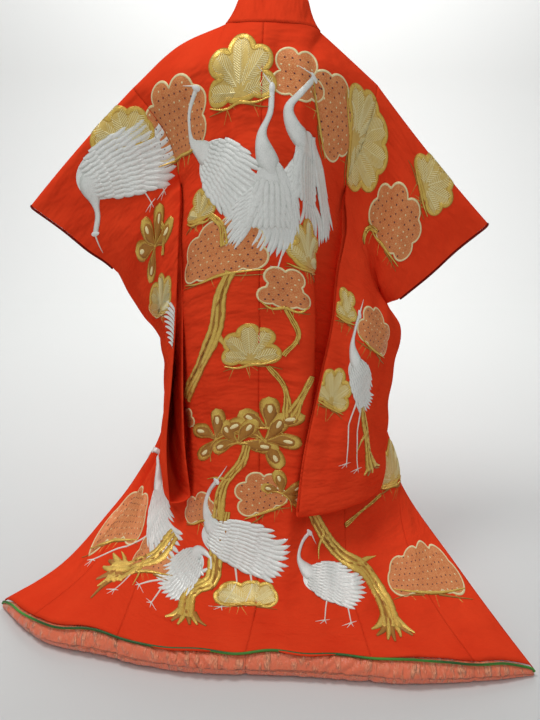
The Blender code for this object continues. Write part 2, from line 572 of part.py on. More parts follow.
def cuff_edge(name, side, material):
    """A thin roll all round the opening of one cuff."""
    back, front = sleeve(side)
    _, downs = sleeve_spacing()
    rows = downs <= CUFF
    lines, ways = [], []
    for layer in (back, front):
        ways.append(unit(layer[rows, -1] - layer[rows, -2]))
        lines.append(layer[rows, -1] + ways[-1] * (CUFF_EDGE_RADIUS + CUFF_EDGE_ROOM))
    loop = np.concatenate([lines[0], lines[1][:0:-1]])
    above = np.concatenate([ways[0], ways[1][:0:-1]])
    ahead = unit(np.roll(loop, -1, axis=0) - np.roll(loop, 1, axis=0))
    above = unit(above - ahead * (above * ahead).sum(axis=1, keepdims=True))
    aside = np.cross(ahead, above)
    tube(name, loop, CUFF_EDGE_RADIUS, CUFF_EDGE_SIDES, material, aside, above, closed=True)


def finish(name, colour, roughness):
    made = bpy.data.materials.new(name)
    made.use_nodes = True
    shader = made.node_tree.nodes["Principled BSDF"]
    shader.inputs["Base Color"].default_value = colour
    shader.inputs["Roughness"].default_value = roughness
    return made


def main():
    for old in list(bpy.data.objects):
        bpy.data.objects.remove(old)
    satin = finish("vermilion_satin", VERMILION, 0.5)
    coral = finish("coral_satin", CORAL, 0.4)
    green = finish("green_cord", GREEN, 0.5)
    lining = finish("maroon_lining", MAROON, 0.6)
    rows = body_rows()
    for side, which in ((-1, "left"), (1, "right")):
        back, front, okumi = (body(side, rows)[name] for name in ("back", "front", "okumi"))
        side_room = seam_room(back[:, -2], back[:, -1], front[:, 1])
        low = rows >= OKUMI_TOP
        okumi_room = seam_room(front[low, -2], front[low, -1], okumi[:, 1])
        front_room = np.full(len(rows), SEAM_GAP / 2)
        front_room[low] = okumi_room
        half = SEAM_GAP / 2
        back = inset(back, left=half, right=side_room, top=SEAM_GAP)
        front = inset(front, left=side_room, right=front_room, top=SEAM_GAP)
        okumi = inset(okumi, left=okumi_room, right=half)
        cloth_panel(f"back_{which}", back, satin, flip=side > 0)
        cloth_panel(f"front_{which}", front, satin, flip=side > 0)
        cloth_panel(f"okumi_{which}", okumi, satin, flip=side > 0)
        sleeve_panels(which, side, satin)
        cuff_edge(f"cuff_edge_{which}", side, lining)
    collar(satin)
    hem_rolls(coral)
    hem_piping(green)


main()
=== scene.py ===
import math

import bpy
import numpy as np
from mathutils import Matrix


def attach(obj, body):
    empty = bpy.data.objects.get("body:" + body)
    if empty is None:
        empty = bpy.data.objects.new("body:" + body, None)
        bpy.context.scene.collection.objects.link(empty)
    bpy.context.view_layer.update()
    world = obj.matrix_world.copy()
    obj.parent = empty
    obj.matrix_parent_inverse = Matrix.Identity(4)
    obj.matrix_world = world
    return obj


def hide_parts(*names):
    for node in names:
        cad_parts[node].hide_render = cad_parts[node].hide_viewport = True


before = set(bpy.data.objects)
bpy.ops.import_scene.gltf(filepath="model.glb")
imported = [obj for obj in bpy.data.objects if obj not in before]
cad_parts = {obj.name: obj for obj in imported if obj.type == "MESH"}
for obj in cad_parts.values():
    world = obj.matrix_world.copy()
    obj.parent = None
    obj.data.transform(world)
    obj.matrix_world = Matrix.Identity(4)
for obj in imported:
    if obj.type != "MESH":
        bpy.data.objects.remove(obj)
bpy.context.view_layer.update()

# An uchikake: satin robe, padded hem and raised embroidery of cranes among pines.
# "out" runs from the centre back seam, minus on the wearer's left; "down" runs from the shoulder fold.

robe = {
    "holdHeight": 1.430,  # floor to shoulders
    "clothThickness": 0.0026,
    "backWidth": 0.300,
    "frontWidth": 0.240,
    "okumiWidth": 0.155,
    "okumiTop": 0.270,
    "okumiFull": 0.950,
    "armhole": 0.225,
    "armholeClose": 0.030,
    "halfGap": 0.010,
    "foldRound": 0.014,
    "hemDown": 1.62,
    "seamTurn": 0.040,
    "sectionPoints": 121,
    "easePoints": 25,
    "neckShare": 4 / 12,  # of the back's width, what lies under the collar
    "turnPoints": 7,  # rows round the shoulder fold
    "seamTurnDowns": (0.16, 0.30),  # where the cloth begins to wrap past the side seam
    "seamTurnFrom": 0.2,  # above this the section goes straight from the side seam to the fold
    "seamAim": 0.3,  # how far that turn aims at the front's outermost fold
    "rows": 190,
    "backColumns": 60,
    "frontColumns": 40,
    "okumiColumns": 26,
    "rumple": 0.0030,
    "rumpleSize": 0.15,
    "rumpleSeed": 11,
    "rumpleFrom": 0.10,
    "rumpleTo": (1.52, 1.60),
    "seamDip": 0.0008,
    "seamDipWidth": 0.004,
    "seamDipFrom": (0.02, 0.06),
}
# degrees that the back's section turns through: at the shoulders, more at the waist, less in the train
backTurn = {"top": 48.0, "waist": 37.0, "waistDowns": (0.22, 0.50), "train": 62.0, "trainDowns": (0.90, 1.50)}
# how many waves, the range of their lengths as shares of size, and what their sum is divided by
rumpleWaves = {"count": 9, "lengths": (0.7, 1.6), "scale": 4.0}
# down, then x, y and height of the centre back seam
centreBack = (
    (0.00, 0.005, -0.060, 1.448),
    (0.05, 0.003, -0.083, 1.402),
    (0.12, 0.001, -0.104, 1.335),
    (0.22, 0.000, -0.122, 1.237),
    (0.40, -0.003, -0.135, 1.058),
    (0.60, -0.006, -0.142, 0.858),
    (0.80, -0.008, -0.150, 0.658),
    (1.00, -0.009, -0.165, 0.459),
    (1.15, -0.009, -0.192, 0.312),
    (1.30, -0.010, -0.250, 0.173),
    (1.43, -0.016, -0.330, 0.100),
    (1.54, -0.028, -0.408, 0.080),
    (1.62, -0.040, -0.473, 0.074),
)
# down, then the side seam, the front's outermost fold and the front edge
leftSide = (
    (0.00, (-0.293, 0.000, 1.298), (-0.190, 0.000, 1.387), (-0.080, 0.000, 1.436)),
    (0.05, (-0.262, 0.000, 1.256), (-0.172, 0.032, 1.348), (-0.080, 0.040, 1.398)),
    (0.12, (-0.218, 0.006, 1.188), (-0.160, 0.056, 1.270), (-0.078, 0.070, 1.330)),
    (0.22, (-0.198, 0.018, 1.084), (-0.152, 0.080, 1.165), (-0.074, 0.096, 1.238)),
    (0.40, (-0.213, 0.044, 0.905), (-0.165, 0.112, 0.982), (-0.068, 0.126, 1.058)),
    (0.60, (-0.218, 0.058, 0.705), (-0.168, 0.140, 0.785), (-0.064, 0.154, 0.862)),
    (0.80, (-0.216, 0.062, 0.510), (-0.175, 0.158, 0.590), (-0.080, 0.180, 0.668)),
    (1.00, (-0.211, 0.048, 0.335), (-0.205, 0.162, 0.410), (-0.135, 0.214, 0.487)),
    (1.15, (-0.234, 0.018, 0.220), (-0.268, 0.126, 0.276), (-0.266, 0.228, 0.338)),
    (1.30, (-0.276, -0.060, 0.158), (-0.321, 0.024, 0.192), (-0.328, 0.136, 0.238)),
    (1.43, (-0.312, -0.176, 0.102), (-0.382, -0.096, 0.116), (-0.420, 0.030, 0.142)),
    (1.54, (-0.335, -0.301, 0.080), (-0.458, -0.237, 0.077), (-0.552, -0.126, 0.052)),
    (1.62, (-0.350, -0.418, 0.074), (-0.523, -0.368, 0.074), (-0.680, -0.222, 0.014)),
)
rightSide = (
    (0.00, (0.262, 0.000, 1.304), (0.195, 0.000, 1.363), (0.130, 0.000, 1.419)),
    (0.05, (0.256, 0.000, 1.256), (0.184, 0.032, 1.325), (0.116, 0.040, 1.384)),
    (0.12, (0.238, 0.006, 1.180), (0.176, 0.056, 1.256), (0.104, 0.070, 1.320)),
    (0.22, (0.202, 0.018, 1.078), (0.166, 0.080, 1.156), (0.094, 0.096, 1.232)),
    (0.40, (0.202, 0.048, 0.898), (0.172, 0.112, 0.978), (0.082, 0.126, 1.056)),
    (0.60, (0.218, 0.062, 0.702), (0.192, 0.138, 0.782), (0.076, 0.154, 0.860)),
    (0.80, (0.236, 0.056, 0.520), (0.230, 0.140, 0.600), (0.088, 0.182, 0.672)),
    (1.00, (0.234, 0.005, 0.370), (0.318, 0.094, 0.430), (0.190, 0.192, 0.500)),
    (1.15, (0.218, -0.090, 0.262), (0.364, 0.014, 0.285), (0.310, 0.130, 0.350)),
    (1.30, (0.210, -0.205, 0.172), (0.380, -0.104, 0.184), (0.388, -0.012, 0.222)),
    (1.43, (0.222, -0.314, 0.108), (0.424, -0.237, 0.118), (0.486, -0.169, 0.126)),
    (1.54, (0.243, -0.417, 0.080), (0.447, -0.381, 0.080), (0.573, -0.332, 0.062)),
    (1.62, (0.256, -0.495, 0.074), (0.450, -0.500, 0.074), (0.650, -0.474, 0.014)),
)
# side, top, bottom, out at the top and at the bottom, width, height
bodyFolds = (
    (1, 0.40, 1.45, 0.090, 0.085, 0.045, 0.018),
    (1, 0.20, 1.45, 0.180, 0.150, 0.050, -0.060),
    (-1, 0.20, 1.10, 0.215, 0.180, 0.050, 0.006),
    (-1, 0.10, 0.75, 0.115, 0.100, 0.040, -0.012),
    (1, 0.08, 0.60, 0.150, 0.110, 0.035, -0.012),
    (-1, 0.30, 1.45, 0.375, 0.385, 0.032, 0.009),
    (-1, 0.30, 1.45, 0.450, 0.455, 0.032, -0.010),
    (1, 0.30, 1.40, 0.360, 0.380, 0.032, 0.009),
    (1, 0.30, 1.40, 0.430, 0.440, 0.032, -0.009),
    (-1, 1.10, 1.60, 0.110, 0.130, 0.035, 0.010),
    (-1, 1.05, 1.60, 0.210, 0.240, 0.035, -0.010),
    (1, 1.20, 1.60, 0.300, 0.330, 0.040, 0.012),
    (1, 1.15, 1.60, 0.380, 0.400, 0.035, -0.010),
    (-1, 0.70, 1.60, 0.610, 0.628, 0.027, -0.026),
)

# down, then the inner edge, the outer edge, the bow between them and how far the layers part
leftSleeve = (
    (0.00, (-0.293, 0.000, 1.298), (-0.552, 0.000, 1.024), (-0.003, 0.000, 0.003), 0.000),
    (0.08, (-0.240, 0.003, 1.230), (-0.488, 0.000, 0.973), (0.000, -0.004, 0.000), 0.000),
    (0.16, (-0.206, 0.010, 1.148), (-0.428, 0.004, 0.918), (-0.006, -0.008, 0.004), 0.000),
    (0.25, (-0.195, 0.000, 1.050), (-0.366, 0.012, 0.862), (-0.010, -0.014, 0.006), 0.000),
    (0.33, (-0.198, -0.020, 0.968), (-0.338, 0.052, 0.778), (-0.010, -0.022, 0.000), 0.000),
    (0.42, (-0.201, -0.038, 0.880), (-0.304, 0.112, 0.690), (-0.010, -0.030, 0.000), 0.000),
    (0.55, (-0.206, -0.054, 0.748), (-0.274, 0.180, 0.605), (-0.014, -0.016, 0.000), 0.000),
    (0.70, (-0.216, -0.060, 0.598), (-0.268, 0.215, 0.530), (-0.008, -0.005, 0.000), 0.004),
    (0.90, (-0.227, -0.082, 0.404), (-0.262, 0.226, 0.470), (-0.014, 0.000, -0.030), 0.014),
    (1.07, (-0.218, -0.106, 0.250), (-0.256, 0.222, 0.430), (-0.034, 0.000, -0.070), 0.020),
)
rightSleeve = (
    (0.00, (0.262, 0.000, 1.304), (0.542, 0.000, 0.979), (-0.003, 0.000, -0.004), 0.000),
    (0.08, (0.252, 0.002, 1.228), (0.472, 0.000, 0.917), (0.000, -0.004, 0.000), 0.000),
    (0.16, (0.224, 0.010, 1.138), (0.408, 0.000, 0.855), (0.004, -0.010, 0.000), 0.000),
    (0.25, (0.197, 0.010, 1.040), (0.338, 0.000, 0.788), (0.008, -0.012, 0.000), 0.000),
    (0.33, (0.196, -0.026, 0.960), (0.310, 0.040, 0.748), (0.010, -0.014, 0.000), 0.000),
    (0.42, (0.181, -0.050, 0.875), (0.342, 0.006, 0.700), (0.014, -0.012, 0.000), 0.000),
    (0.55, (0.169, -0.085, 0.750), (0.332, 0.004, 0.615), (0.020, -0.020, 0.000), 0.000),
    (0.70, (0.138, -0.130, 0.605), (0.320, -0.020, 0.500), (0.012, -0.024, 0.000), 0.000),
    (0.90, (0.101, -0.190, 0.425), (0.318, -0.060, 0.380), (0.008, -0.026, 0.000), 0.002),
    (1.07, (0.085, -0.240, 0.295), (0.312, -0.090, 0.282), (0.006, -0.026, 0.000), 0.006),
)
# laid out as bodyFolds is
sleeveFolds = (
    (1, 0.02, 0.46, 0.035, 0.270, 0.038, -0.022),
    (1, 0.35, 0.95, 0.110, 0.150, 0.040, 0.010),
    (-1, 0.15, 0.60, 0.030, 0.240, 0.040, -0.010),
)

# place along the collar, 0 at the nape, then the way that the band leans: aside, forward and up
collarStance = (
    (0.0, 0.00, 0.62, 0.95),
    (1.0, 0.66, 0.12, 0.72),
    (1.5, 0.90, 0.12, 0.30),
    (2.0, 0.97, 0.10, 0.05),
    (3.0, 1.00, 0.02, 0.00),
)
# finer folds, laid out as bodyFolds is
softFolds = (
    (1, -0.02, 0.26, 0.028, 0.044, 0.012, -0.0060),
    (1, -0.02, 0.32, 0.058, 0.108, 0.014, 0.0060),
    (1, -0.02, 0.28, 0.086, 0.170, 0.015, -0.0070),
    (-1, -0.02, 0.26, 0.026, 0.040, 0.012, 0.0050),
    (-1, -0.02, 0.34, 0.054, 0.096, 0.013, -0.0060),
    (-1, -0.02, 0.30, 0.080, 0.150, 0.015, 0.0060),
    (1, 0.52, 1.20, 0.040, 0.050, 0.016, -0.0050),
    (1, 0.60, 1.30, 0.120, 0.090, 0.016, 0.0050),
    (-1, 0.44, 1.16, 0.060, 0.040, 0.016, 0.0045),
    (-1, 0.62, 1.34, 0.150, 0.120, 0.016, -0.0055),
    (1, 1.16, 1.62, 0.170, 0.230, 0.022, -0.0060),
    (-1, 1.20, 1.62, 0.040, 0.060, 0.022, -0.0055),
    (-1, 1.16, 1.62, 0.300, 0.360, 0.024, 0.0065),
    (1, 1.24, 1.62, 0.060, 0.100, 0.022, 0.0050),
)
softSleeveFolds = (
    (1, 0.03, 0.30, 0.060, 0.180, 0.024, 0.004),
    (-1, 0.02, 0.30, 0.060, 0.200, 0.024, 0.004),
    (-1, 0.22, 0.62, 0.290, 0.120, 0.030, 0.010),
    (-1, 0.30, 0.80, 0.230, 0.060, 0.026, -0.008),
    (-1, 0.55, 1.02, 0.180, 0.190, 0.030, -0.010),
    (1, 0.22, 0.70, 0.250, 0.170, 0.026, 0.008),
    (1, 0.30, 0.90, 0.300, 0.240, 0.024, -0.008),
    (1, 0.55, 1.02, 0.060, 0.080, 0.030, -0.008),
)
sleeves = {
    "width": 0.335,
    "length": 1.070,
    "cuff": 0.250,  # length of the open part of the outer edge
    "cuffClose": 0.020,
    "corner": 0.050,  # radius of the lower outer corner
    "rows": 96,  # below the armhole
    "armholeRows": 24,
    "columns": 46,
    "turnPoints": 6,  # columns round the outer edge
    "joins": 0.080,  # how far in the sleeve follows the edge of the armhole
    "rumple": 0.0030,
    "rumpleSize": 0.14,
    "rumpleSeed": 31,
    "rumpleFrom": 0.06,
    "spotsFrom": 1.0,  # keeps the sleeve's cloth coordinates clear of the body's
}
collar = {
    "width": 0.062,
    "end": 0.960,
    "steps": 96,
    "neckSteps": 26,
    "across": 9,
    "settles": 0.200,
    "seamRoom": 0.0008,
    "firstStep": 0.012,
    "thickness": 0.0042,
    "rumple": 0.0006,
    "rumpleSize": 0.22,
    "rumpleSeed": 71,
}
hemPads = {
    "radius": 0.0360,
    "endRadius": 0.006,
    "taper": 0.300,
    "steps": 900,
    "sides": 40,
    "above": 1.50,  # down from here the cloth follows the piping
    "clear": 0.0005,
    "pucker": 0.24,
    "seamDepth": 0.09,
    "seamReach": 0.006,
    "lap": 0.0016,  # how far one length's end runs into the next
    "fill": 0.7,
}
# puckers across the roll: share, length, how much and how fast they wander, and twist round the roll
puckers = ((0.6, 0.052, 2.2, 21.0, 0.0), (0.4, 0.027, 1.7, 34.0, 1.0))
puckerFace = {"least": 0.35, "most": 0.65, "turn": 0.5}  # strongest on the roll's outer face
puckerSlant = {"reach": 0.020, "twist": 2.0, "rate": 9.0}
puckerSwell = {"least": 0.6, "most": 0.4, "rate": 13.0, "twist": 1.5}
piping = {
    "radius": 0.0032,
    "turn": 71.0,
    "wave": 22.0,
    "waveLength": 0.16,
    "waveScale": 0.5,
    "waveSeed": 5,
    "calm": (0.695, 0.60),  # straight out past the first, in full waves before the second
    "sides": 10,
}
cuffEdges = {"radius": 0.0028, "reach": 0.0036, "sides": 10}

upward = np.array([0.0, 0.0, 1.0])


def smoothStep(low, high, x):
    t = np.clip((np.asarray(x, float) - low) / (high - low), 0.0, 1.0)
    return t * t * (3.0 - 2.0 * t)


def through(keys, values, at):
    # a smooth curve through values at rising keys, read at the places in at
    keys, values, at = np.asarray(keys, float), np.asarray(values, float), np.asarray(at, float)
    steps = np.diff(keys)
    shape = (-1,) + (1,) * (values.ndim - 1)
    slopes = np.diff(values, axis=0) / steps.reshape(shape)
    inner = (slopes[:-1] * steps[1:].reshape(shape) + slopes[1:] * steps[:-1].reshape(shape)) / (
        steps[:-1] + steps[1:]
    ).reshape(shape)
    tangents = np.concatenate([slopes[:1], inner, slopes[-1:]])
    i = np.clip(np.searchsorted(keys, at, side="right") - 1, 0, len(steps) - 1)
    h = steps[i].reshape(shape)
    t = ((at - keys[i]) / steps[i]).reshape(shape)
    return (
        (2 * t**3 - 3 * t**2 + 1) * values[i]
        + (t**3 - 2 * t**2 + t) * h * tangents[i]
        + (3 * t**2 - 2 * t**3) * values[i + 1]
        + (t**3 - t**2) * h * tangents[i + 1]
    )


def lengths(points):
    return np.concatenate([[0.0], np.cumsum(np.linalg.norm(np.diff(points, axis=0), axis=1))])


def spaced(points, shares):
    along = lengths(points)
    wanted = np.asarray(shares) * along[-1]
    return np.stack([np.interp(wanted, along, points[:, k]) for k in range(points.shape[1])], 1)


def eased(line, easePoints):
    # the line with its bends rounded and its ends kept
    weight = np.hanning(easePoints + 2)[1:-1]
    half = easePoints // 2
    before, after = 2 * line[0] - line[half:0:-1], 2 * line[-1] - line[-2 : -2 - half : -1]
    wide = np.concatenate([before, line, after])
    return np.stack([np.convolve(wide[:, k], weight / weight.sum(), "valid") for k in range(3)], 1)


def unit(v):
    return v / np.maximum(np.linalg.norm(v, axis=-1, keepdims=True), 1e-12)


def normals(grid):
    return unit(np.cross(np.gradient(grid, axis=1), np.gradient(grid, axis=0)))


def closing(distance, radius):
    # from 0 at a rounded closed edge to 1 past its rounding
    return np.sqrt(1.0 - (1.0 - np.clip(distance / radius, 0.0, 1.0)) ** 2)


def foldHeight(folds, side, out, down):
    height = np.zeros(np.broadcast(out, down).shape)
    for foldSide, top, bottom, outTop, outBottom, width, fold in folds:
        if foldSide == side:
            share = np.clip((down - top) / (bottom - top), 0.0, 1.0)
            centre = outTop + (outBottom - outTop) * share
            fade = np.sin(math.pi * share) ** 1.3
            height = height + fold * fade * np.exp(-(((out - centre) / width) ** 2))
    return height


def rumple(seed, size, out, down):
    # soft uneven waves: plane waves of random direction and phase, of lengths near size
    rng = np.random.default_rng(seed)
    total = np.zeros(np.broadcast(out, down).shape)
    for _ in range(rumpleWaves["count"]):
        angle, phase = rng.uniform(0, math.pi), rng.uniform(0, 2 * math.pi)
        reach = size * rng.uniform(*rumpleWaves["lengths"])
        along = out * math.cos(angle) + down * math.sin(angle)
        total = total + np.sin(2 * math.pi / reach * along + phase)
    return total / rumpleWaves["scale"]


def backSection(centre, side, down):
    turn = backTurn["top"] + backTurn["waist"] * smoothStep(*backTurn["waistDowns"], down)
    turn = turn - backTurn["train"] * smoothStep(*backTurn["trainDowns"], down)
    a = np.linspace(0.0, math.radians(float(turn)), robe["sectionPoints"])
    x = np.sin(a) / np.sin(a[-1])
    y = (1.0 - np.cos(a)) / (1.0 - np.cos(a[-1]))
    return centre + (side - centre) * np.stack([x, y, y], 1)


def neckLine(centre, neck, count):
    a = np.linspace(0.0, math.pi / 2, robe["sectionPoints"])
    curve = centre + (neck - centre) * np.stack([np.sin(a), 1.0 - np.cos(a), 1.0 - np.cos(a)], 1)
    return spaced(curve, np.linspace(0.0, 1.0, count + 1))


def shoulderSection(centre, side, fold, neck, neckCount, count):
    slope = through([0.0, 1.0, 2.0], [neck, fold, side], np.linspace(0.0, 2.0, robe["sectionPoints"]))
    slope = spaced(slope, np.linspace(0.0, 1.0, count - neckCount + 1))
    return np.concatenate([neckLine(centre, neck, neckCount), slope[1:]])


def okumiWidth(down):
    share = (np.asarray(down, float) - robe["okumiTop"]) / (robe["okumiFull"] - robe["okumiTop"])
    return robe["okumiWidth"] * np.clip(share, 0.0, 1.0)


def rollRadius(out):
    corner = robe["backWidth"] + robe["frontWidth"] + robe["okumiWidth"]
    grown = np.sqrt(np.clip((corner - np.asarray(out, float)) / hemPads["taper"], 0.0, 1.0))
    return hemPads["endRadius"] + (hemPads["radius"] - hemPads["endRadius"]) * grown


def seamDip(out, down):
    # each seam pulls the cloth in a little
    dip = np.zeros(np.broadcast(out, down).shape)
    for seam in (0.0, robe["backWidth"], robe["backWidth"] + robe["frontWidth"]):
        dip = dip + np.exp(-(((np.abs(out) - seam) / robe["seamDipWidth"]) ** 2))
    return -robe["seamDip"] * dip


def panelColumns():
    # how far out from the centre back seam each column of the back, the front and the okumi is
    back = np.linspace(0.0, robe["backWidth"], robe["backColumns"] + 1)
    front = robe["backWidth"] + np.linspace(0.0, robe["frontWidth"], robe["frontColumns"] + 1)
    okumi = np.linspace(0.0, robe["okumiWidth"], robe["okumiColumns"] + 1)
    return back, front, robe["backWidth"] + robe["frontWidth"] + okumi


def frontLine(seam, fold, edge, back, down):
    # the section of the front, from the side seam round its outermost fold to the front edge
    onward = unit(unit(back[-1] - back[-2]) + robe["seamAim"] * unit(fold - seam))
    turned = seam + robe["seamTurn"] * smoothStep(*robe["seamTurnDowns"], down) * onward
    stops = np.array([seam, turned, fold, edge])
    if down < robe["seamTurnFrom"]:
        stops = stops[[0, 2, 3]]
    keys = lengths(stops)
    line = through(keys, stops, np.linspace(0.0, keys[-1], robe["sectionPoints"]))
    return eased(line, robe["easePoints"])


def bodyGrid(side, downs):
    # one side from the centre back seam to the front edge: points, how far out each column is, and how
    # many columns the back and the front take
    table = leftSide if side < 0 else rightSide
    keys = np.array([row[0] for row in table])
    centres = np.array([row[1:] for row in centreBack])
    seam, fold, edge = (np.array([row[k] for row in table]) for k in (1, 2, 3))
    backCount, frontCount, okumiCount = robe["backColumns"], robe["frontColumns"], robe["okumiColumns"]
    neckCount = round(backCount * robe["neckShare"])
    columns = panelColumns()
    out = np.concatenate([columns[0], columns[1][1:], columns[2][1:]])
    sections = []
    for k, down in enumerate(keys):
        section = backSection(centres[k], seam[k], down)
        back = spaced(section, np.linspace(0.0, 1.0, backCount + 1))
        if k == 0:
            back = shoulderSection(centres[0], seam[0], fold[0], edge[0], neckCount, backCount)
        line = frontLine(seam[k], fold[k], edge[k], section, down)
        share = robe["frontWidth"] / (robe["frontWidth"] + float(okumiWidth(down)))
        front = spaced(line, share * np.linspace(0.0, 1.0, frontCount + 1))
        okumi = spaced(line, share + (1.0 - share) * np.linspace(0.0, 1.0, okumiCount + 1))
        sections.append(np.concatenate([back, front[1:], okumi[1:]]))
    sections = np.array(sections)
    sections[-1, :, 2] = 2.0 * rollRadius(out) + robe["clothThickness"] / 2
    points = through(keys, sections, downs)
    across, along = out[None, :], downs[:, None]
    lift = foldHeight(bodyFolds, side, across, along) + foldHeight(softFolds, side, across, along)
    settle = smoothStep(0.0, robe["rumpleFrom"], along) * (1.0 - smoothStep(*robe["rumpleTo"], along))
    waves = rumple(robe["rumpleSeed"] + side, robe["rumpleSize"], across, along)
    lift = lift + robe["rumple"] * settle * waves
    lift = lift + seamDip(across, along) * smoothStep(*robe["seamDipFrom"], along)
    points = points - side * normals(points) * lift[..., None]
    return points, out, backCount, frontCount


def partLayers(points, downs, share, way):
    points = points.copy()
    points[..., 1] += way * robe["halfGap"] * closing(downs, robe["foldRound"])[:, None] * share
    return points


def partShare(out, downs, neckOut):
    byNeck = smoothStep(neckOut / 2, neckOut, out)
    bySeam = 1.0 - smoothStep(0.0, 0.5 * robe["backWidth"], np.abs(out - robe["backWidth"]))
    armhole, close = robe["armhole"], robe["armholeClose"]
    return byNeck * (1.0 - smoothStep(armhole, armhole + close, downs)[:, None] * bySeam)


def turnedEdge(count):
    # places from 0 to where the rounding of a closed edge ends, close together at first
    return robe["foldRound"] * (1.0 - np.cos(np.linspace(0.0, math.pi / 2, count)))


def bodyRows():
    rest = np.linspace(robe["foldRound"], robe["hemDown"], robe["rows"])
    return np.concatenate([turnedEdge(robe["turnPoints"])[:-1], rest])


def hemEdge(side):
    # the cloth's lower edge, before it follows the piping
    points, out = bodyGrid(side, np.array([hemPads["above"], robe["hemDown"]]))[:2]
    return points[-1], out


def hemShift(side, out):
    # how the hem's edge wanders with the piping over the padded hem
    edge = hemEdge(side)[0]
    ahead = unit(np.gradient(edge, axis=0) * np.array([1.0, 1.0, 0.0]))
    away = side * np.cross(ahead, upward)
    turn, level = pipingTurn(side * out), math.radians(piping["turn"])
    aside, above = np.cos(turn) - math.cos(level), np.sin(turn) - math.sin(level)
    reach = (rollRadius(out) + piping["radius"])[:, None]
    return reach * (away * aside[:, None] + upward * above[:, None])


def bodyPanels(side, downs):
    points, out, backCount, frontCount = bodyGrid(side, downs)
    near = smoothStep(hemPads["above"], robe["hemDown"], downs)[:, None, None]
    points = points + hemShift(side, out) * near
    share = partShare(out, downs, robe["backWidth"] * robe["neckShare"])
    back = partLayers(points[:, : backCount + 1], downs, share[:, : backCount + 1], -1.0)
    rest = partLayers(points[:, backCount:], downs, share[:, backCount:], 1.0)
    return back, rest[:, : frontCount + 1], rest[:, frontCount:], out


def sleeveRows():
    armhole, length = robe["armhole"], sleeves["length"]
    turn = turnedEdge(robe["turnPoints"])
    upper = np.linspace(robe["foldRound"], armhole, sleeves["armholeRows"])
    lower = np.linspace(armhole, length - robe["foldRound"], sleeves["rows"])
    return np.concatenate([turn[:-1], upper[:-1], lower, (length - turn[::-1])[1:]])


def sleeveMiddle(table, out, downs):
    # the surface between a sleeve's layers, with its lower outer corner rounded
    width, length, corner = sleeves["width"], sleeves["length"], sleeves["corner"]
    keys = [row[0] for row in table]
    inner, outer, bow = (np.array([row[k] for row in table]) for k in (1, 2, 3))
    past = np.clip((out - (width - corner)) / corner, 0.0, 1.0)[None, :]
    below = np.clip((downs - (length - corner)) / corner, 0.0, 1.0)[:, None]
    across = out[None, :] - corner * past * (1.0 - np.sqrt(1.0 - below**2 / 2))
    along = downs[:, None] - corner * below * (1.0 - np.sqrt(1.0 - past**2 / 2))
    share = (across / width)[..., None]
    start, end, curve = (
        through(keys, values, along.ravel()).reshape(*along.shape, 3) for values in (inner, outer, bow)
    )
    return start + (end - start) * share + 4.0 * share * (1.0 - share) * curve


def sleeveLayers(side):
    # back and front layer as grids of points, which of these the layers share, and where they are
    table = leftSleeve if side < 0 else rightSleeve
    width, length, r = sleeves["width"], sleeves["length"], robe["foldRound"]
    downs = sleeveRows()
    turn = turnedEdge(sleeves["turnPoints"])
    out = np.concatenate([np.linspace(0.0, width - r, sleeves["columns"]), (width - turn[::-1])[1:]])
    across, along = out[None, :], downs[:, None]
    middle = sleeveMiddle(table, out, downs)
    backward = -side * normals(middle)
    lift = foldHeight(sleeveFolds, side, across, along)
    lift = lift + foldHeight(softSleeveFolds, side, across, along)
    settle = smoothStep(0.0, sleeves["rumpleFrom"], across) * smoothStep(0.0, sleeves["rumpleFrom"], along)
    waves = rumple(sleeves["rumpleSeed"] + side, sleeves["rumpleSize"], across, along)
    lift = lift + sleeves["rumple"] * settle * waves
    middle = middle + backward * lift[..., None]
    apart = through([row[0] for row in table], [row[4] for row in table], downs)[:, None]
    apart = robe["halfGap"] + apart * (1.0 - across / width) ** 2
    closed = smoothStep(sleeves["cuff"], sleeves["cuff"] + sleeves["cuffClose"], along)
    apart = apart * (1.0 - closed * (1.0 - closing(width - across, r)))
    apart = apart * closing(along, r) * closing(length - along, r)
    back = middle + backward * apart[..., None]
    front = middle - backward * apart[..., None]
    rows = downs <= robe["armhole"] + 1e-9
    bodyBack, bodyFront = bodyPanels(side, downs[rows])[:2]
    joins = 1.0 - smoothStep(0.0, sleeves["joins"], out)
    for layer, edge in ((back, bodyBack[:, -1]), (front, bodyFront[:, 0])):
        step = np.zeros_like(layer[:, 0])
        step[rows] = edge - layer[rows, 0]
        step[0] = 0.0
        layer += step[:, None, :] * joins[None, :, None]
    shared = np.zeros(apart.shape, bool)
    shared[0] = shared[-1] = True
    shared[downs > sleeves["cuff"], -1] = True
    return back, front, shared, out, downs


class Wire:
    # a node's output that takes part in sums, so that 1 - mask works

    def __init__(self, finish, socket):
        self.finish, self.socket = finish, socket

    def sum(self, operation, *values):
        return self.finish.node("ShaderNodeMath", {"operation": operation}, dict(enumerate(values)))

    def __add__(self, other):
        return self.sum("ADD", self, other)

    __radd__ = __add__

    def __mul__(self, other):
        return self.sum("MULTIPLY", self, other)

    __rmul__ = __mul__

    def __sub__(self, other):
        return self.sum("SUBTRACT", self, other)

    def __rsub__(self, other):
        return self.sum("SUBTRACT", other, self)

    def __pow__(self, other):
        return self.sum("POWER", self, other)

    def clamped(self):
        return self.finish.node("ShaderNodeClamp", {}, {"Value": self})


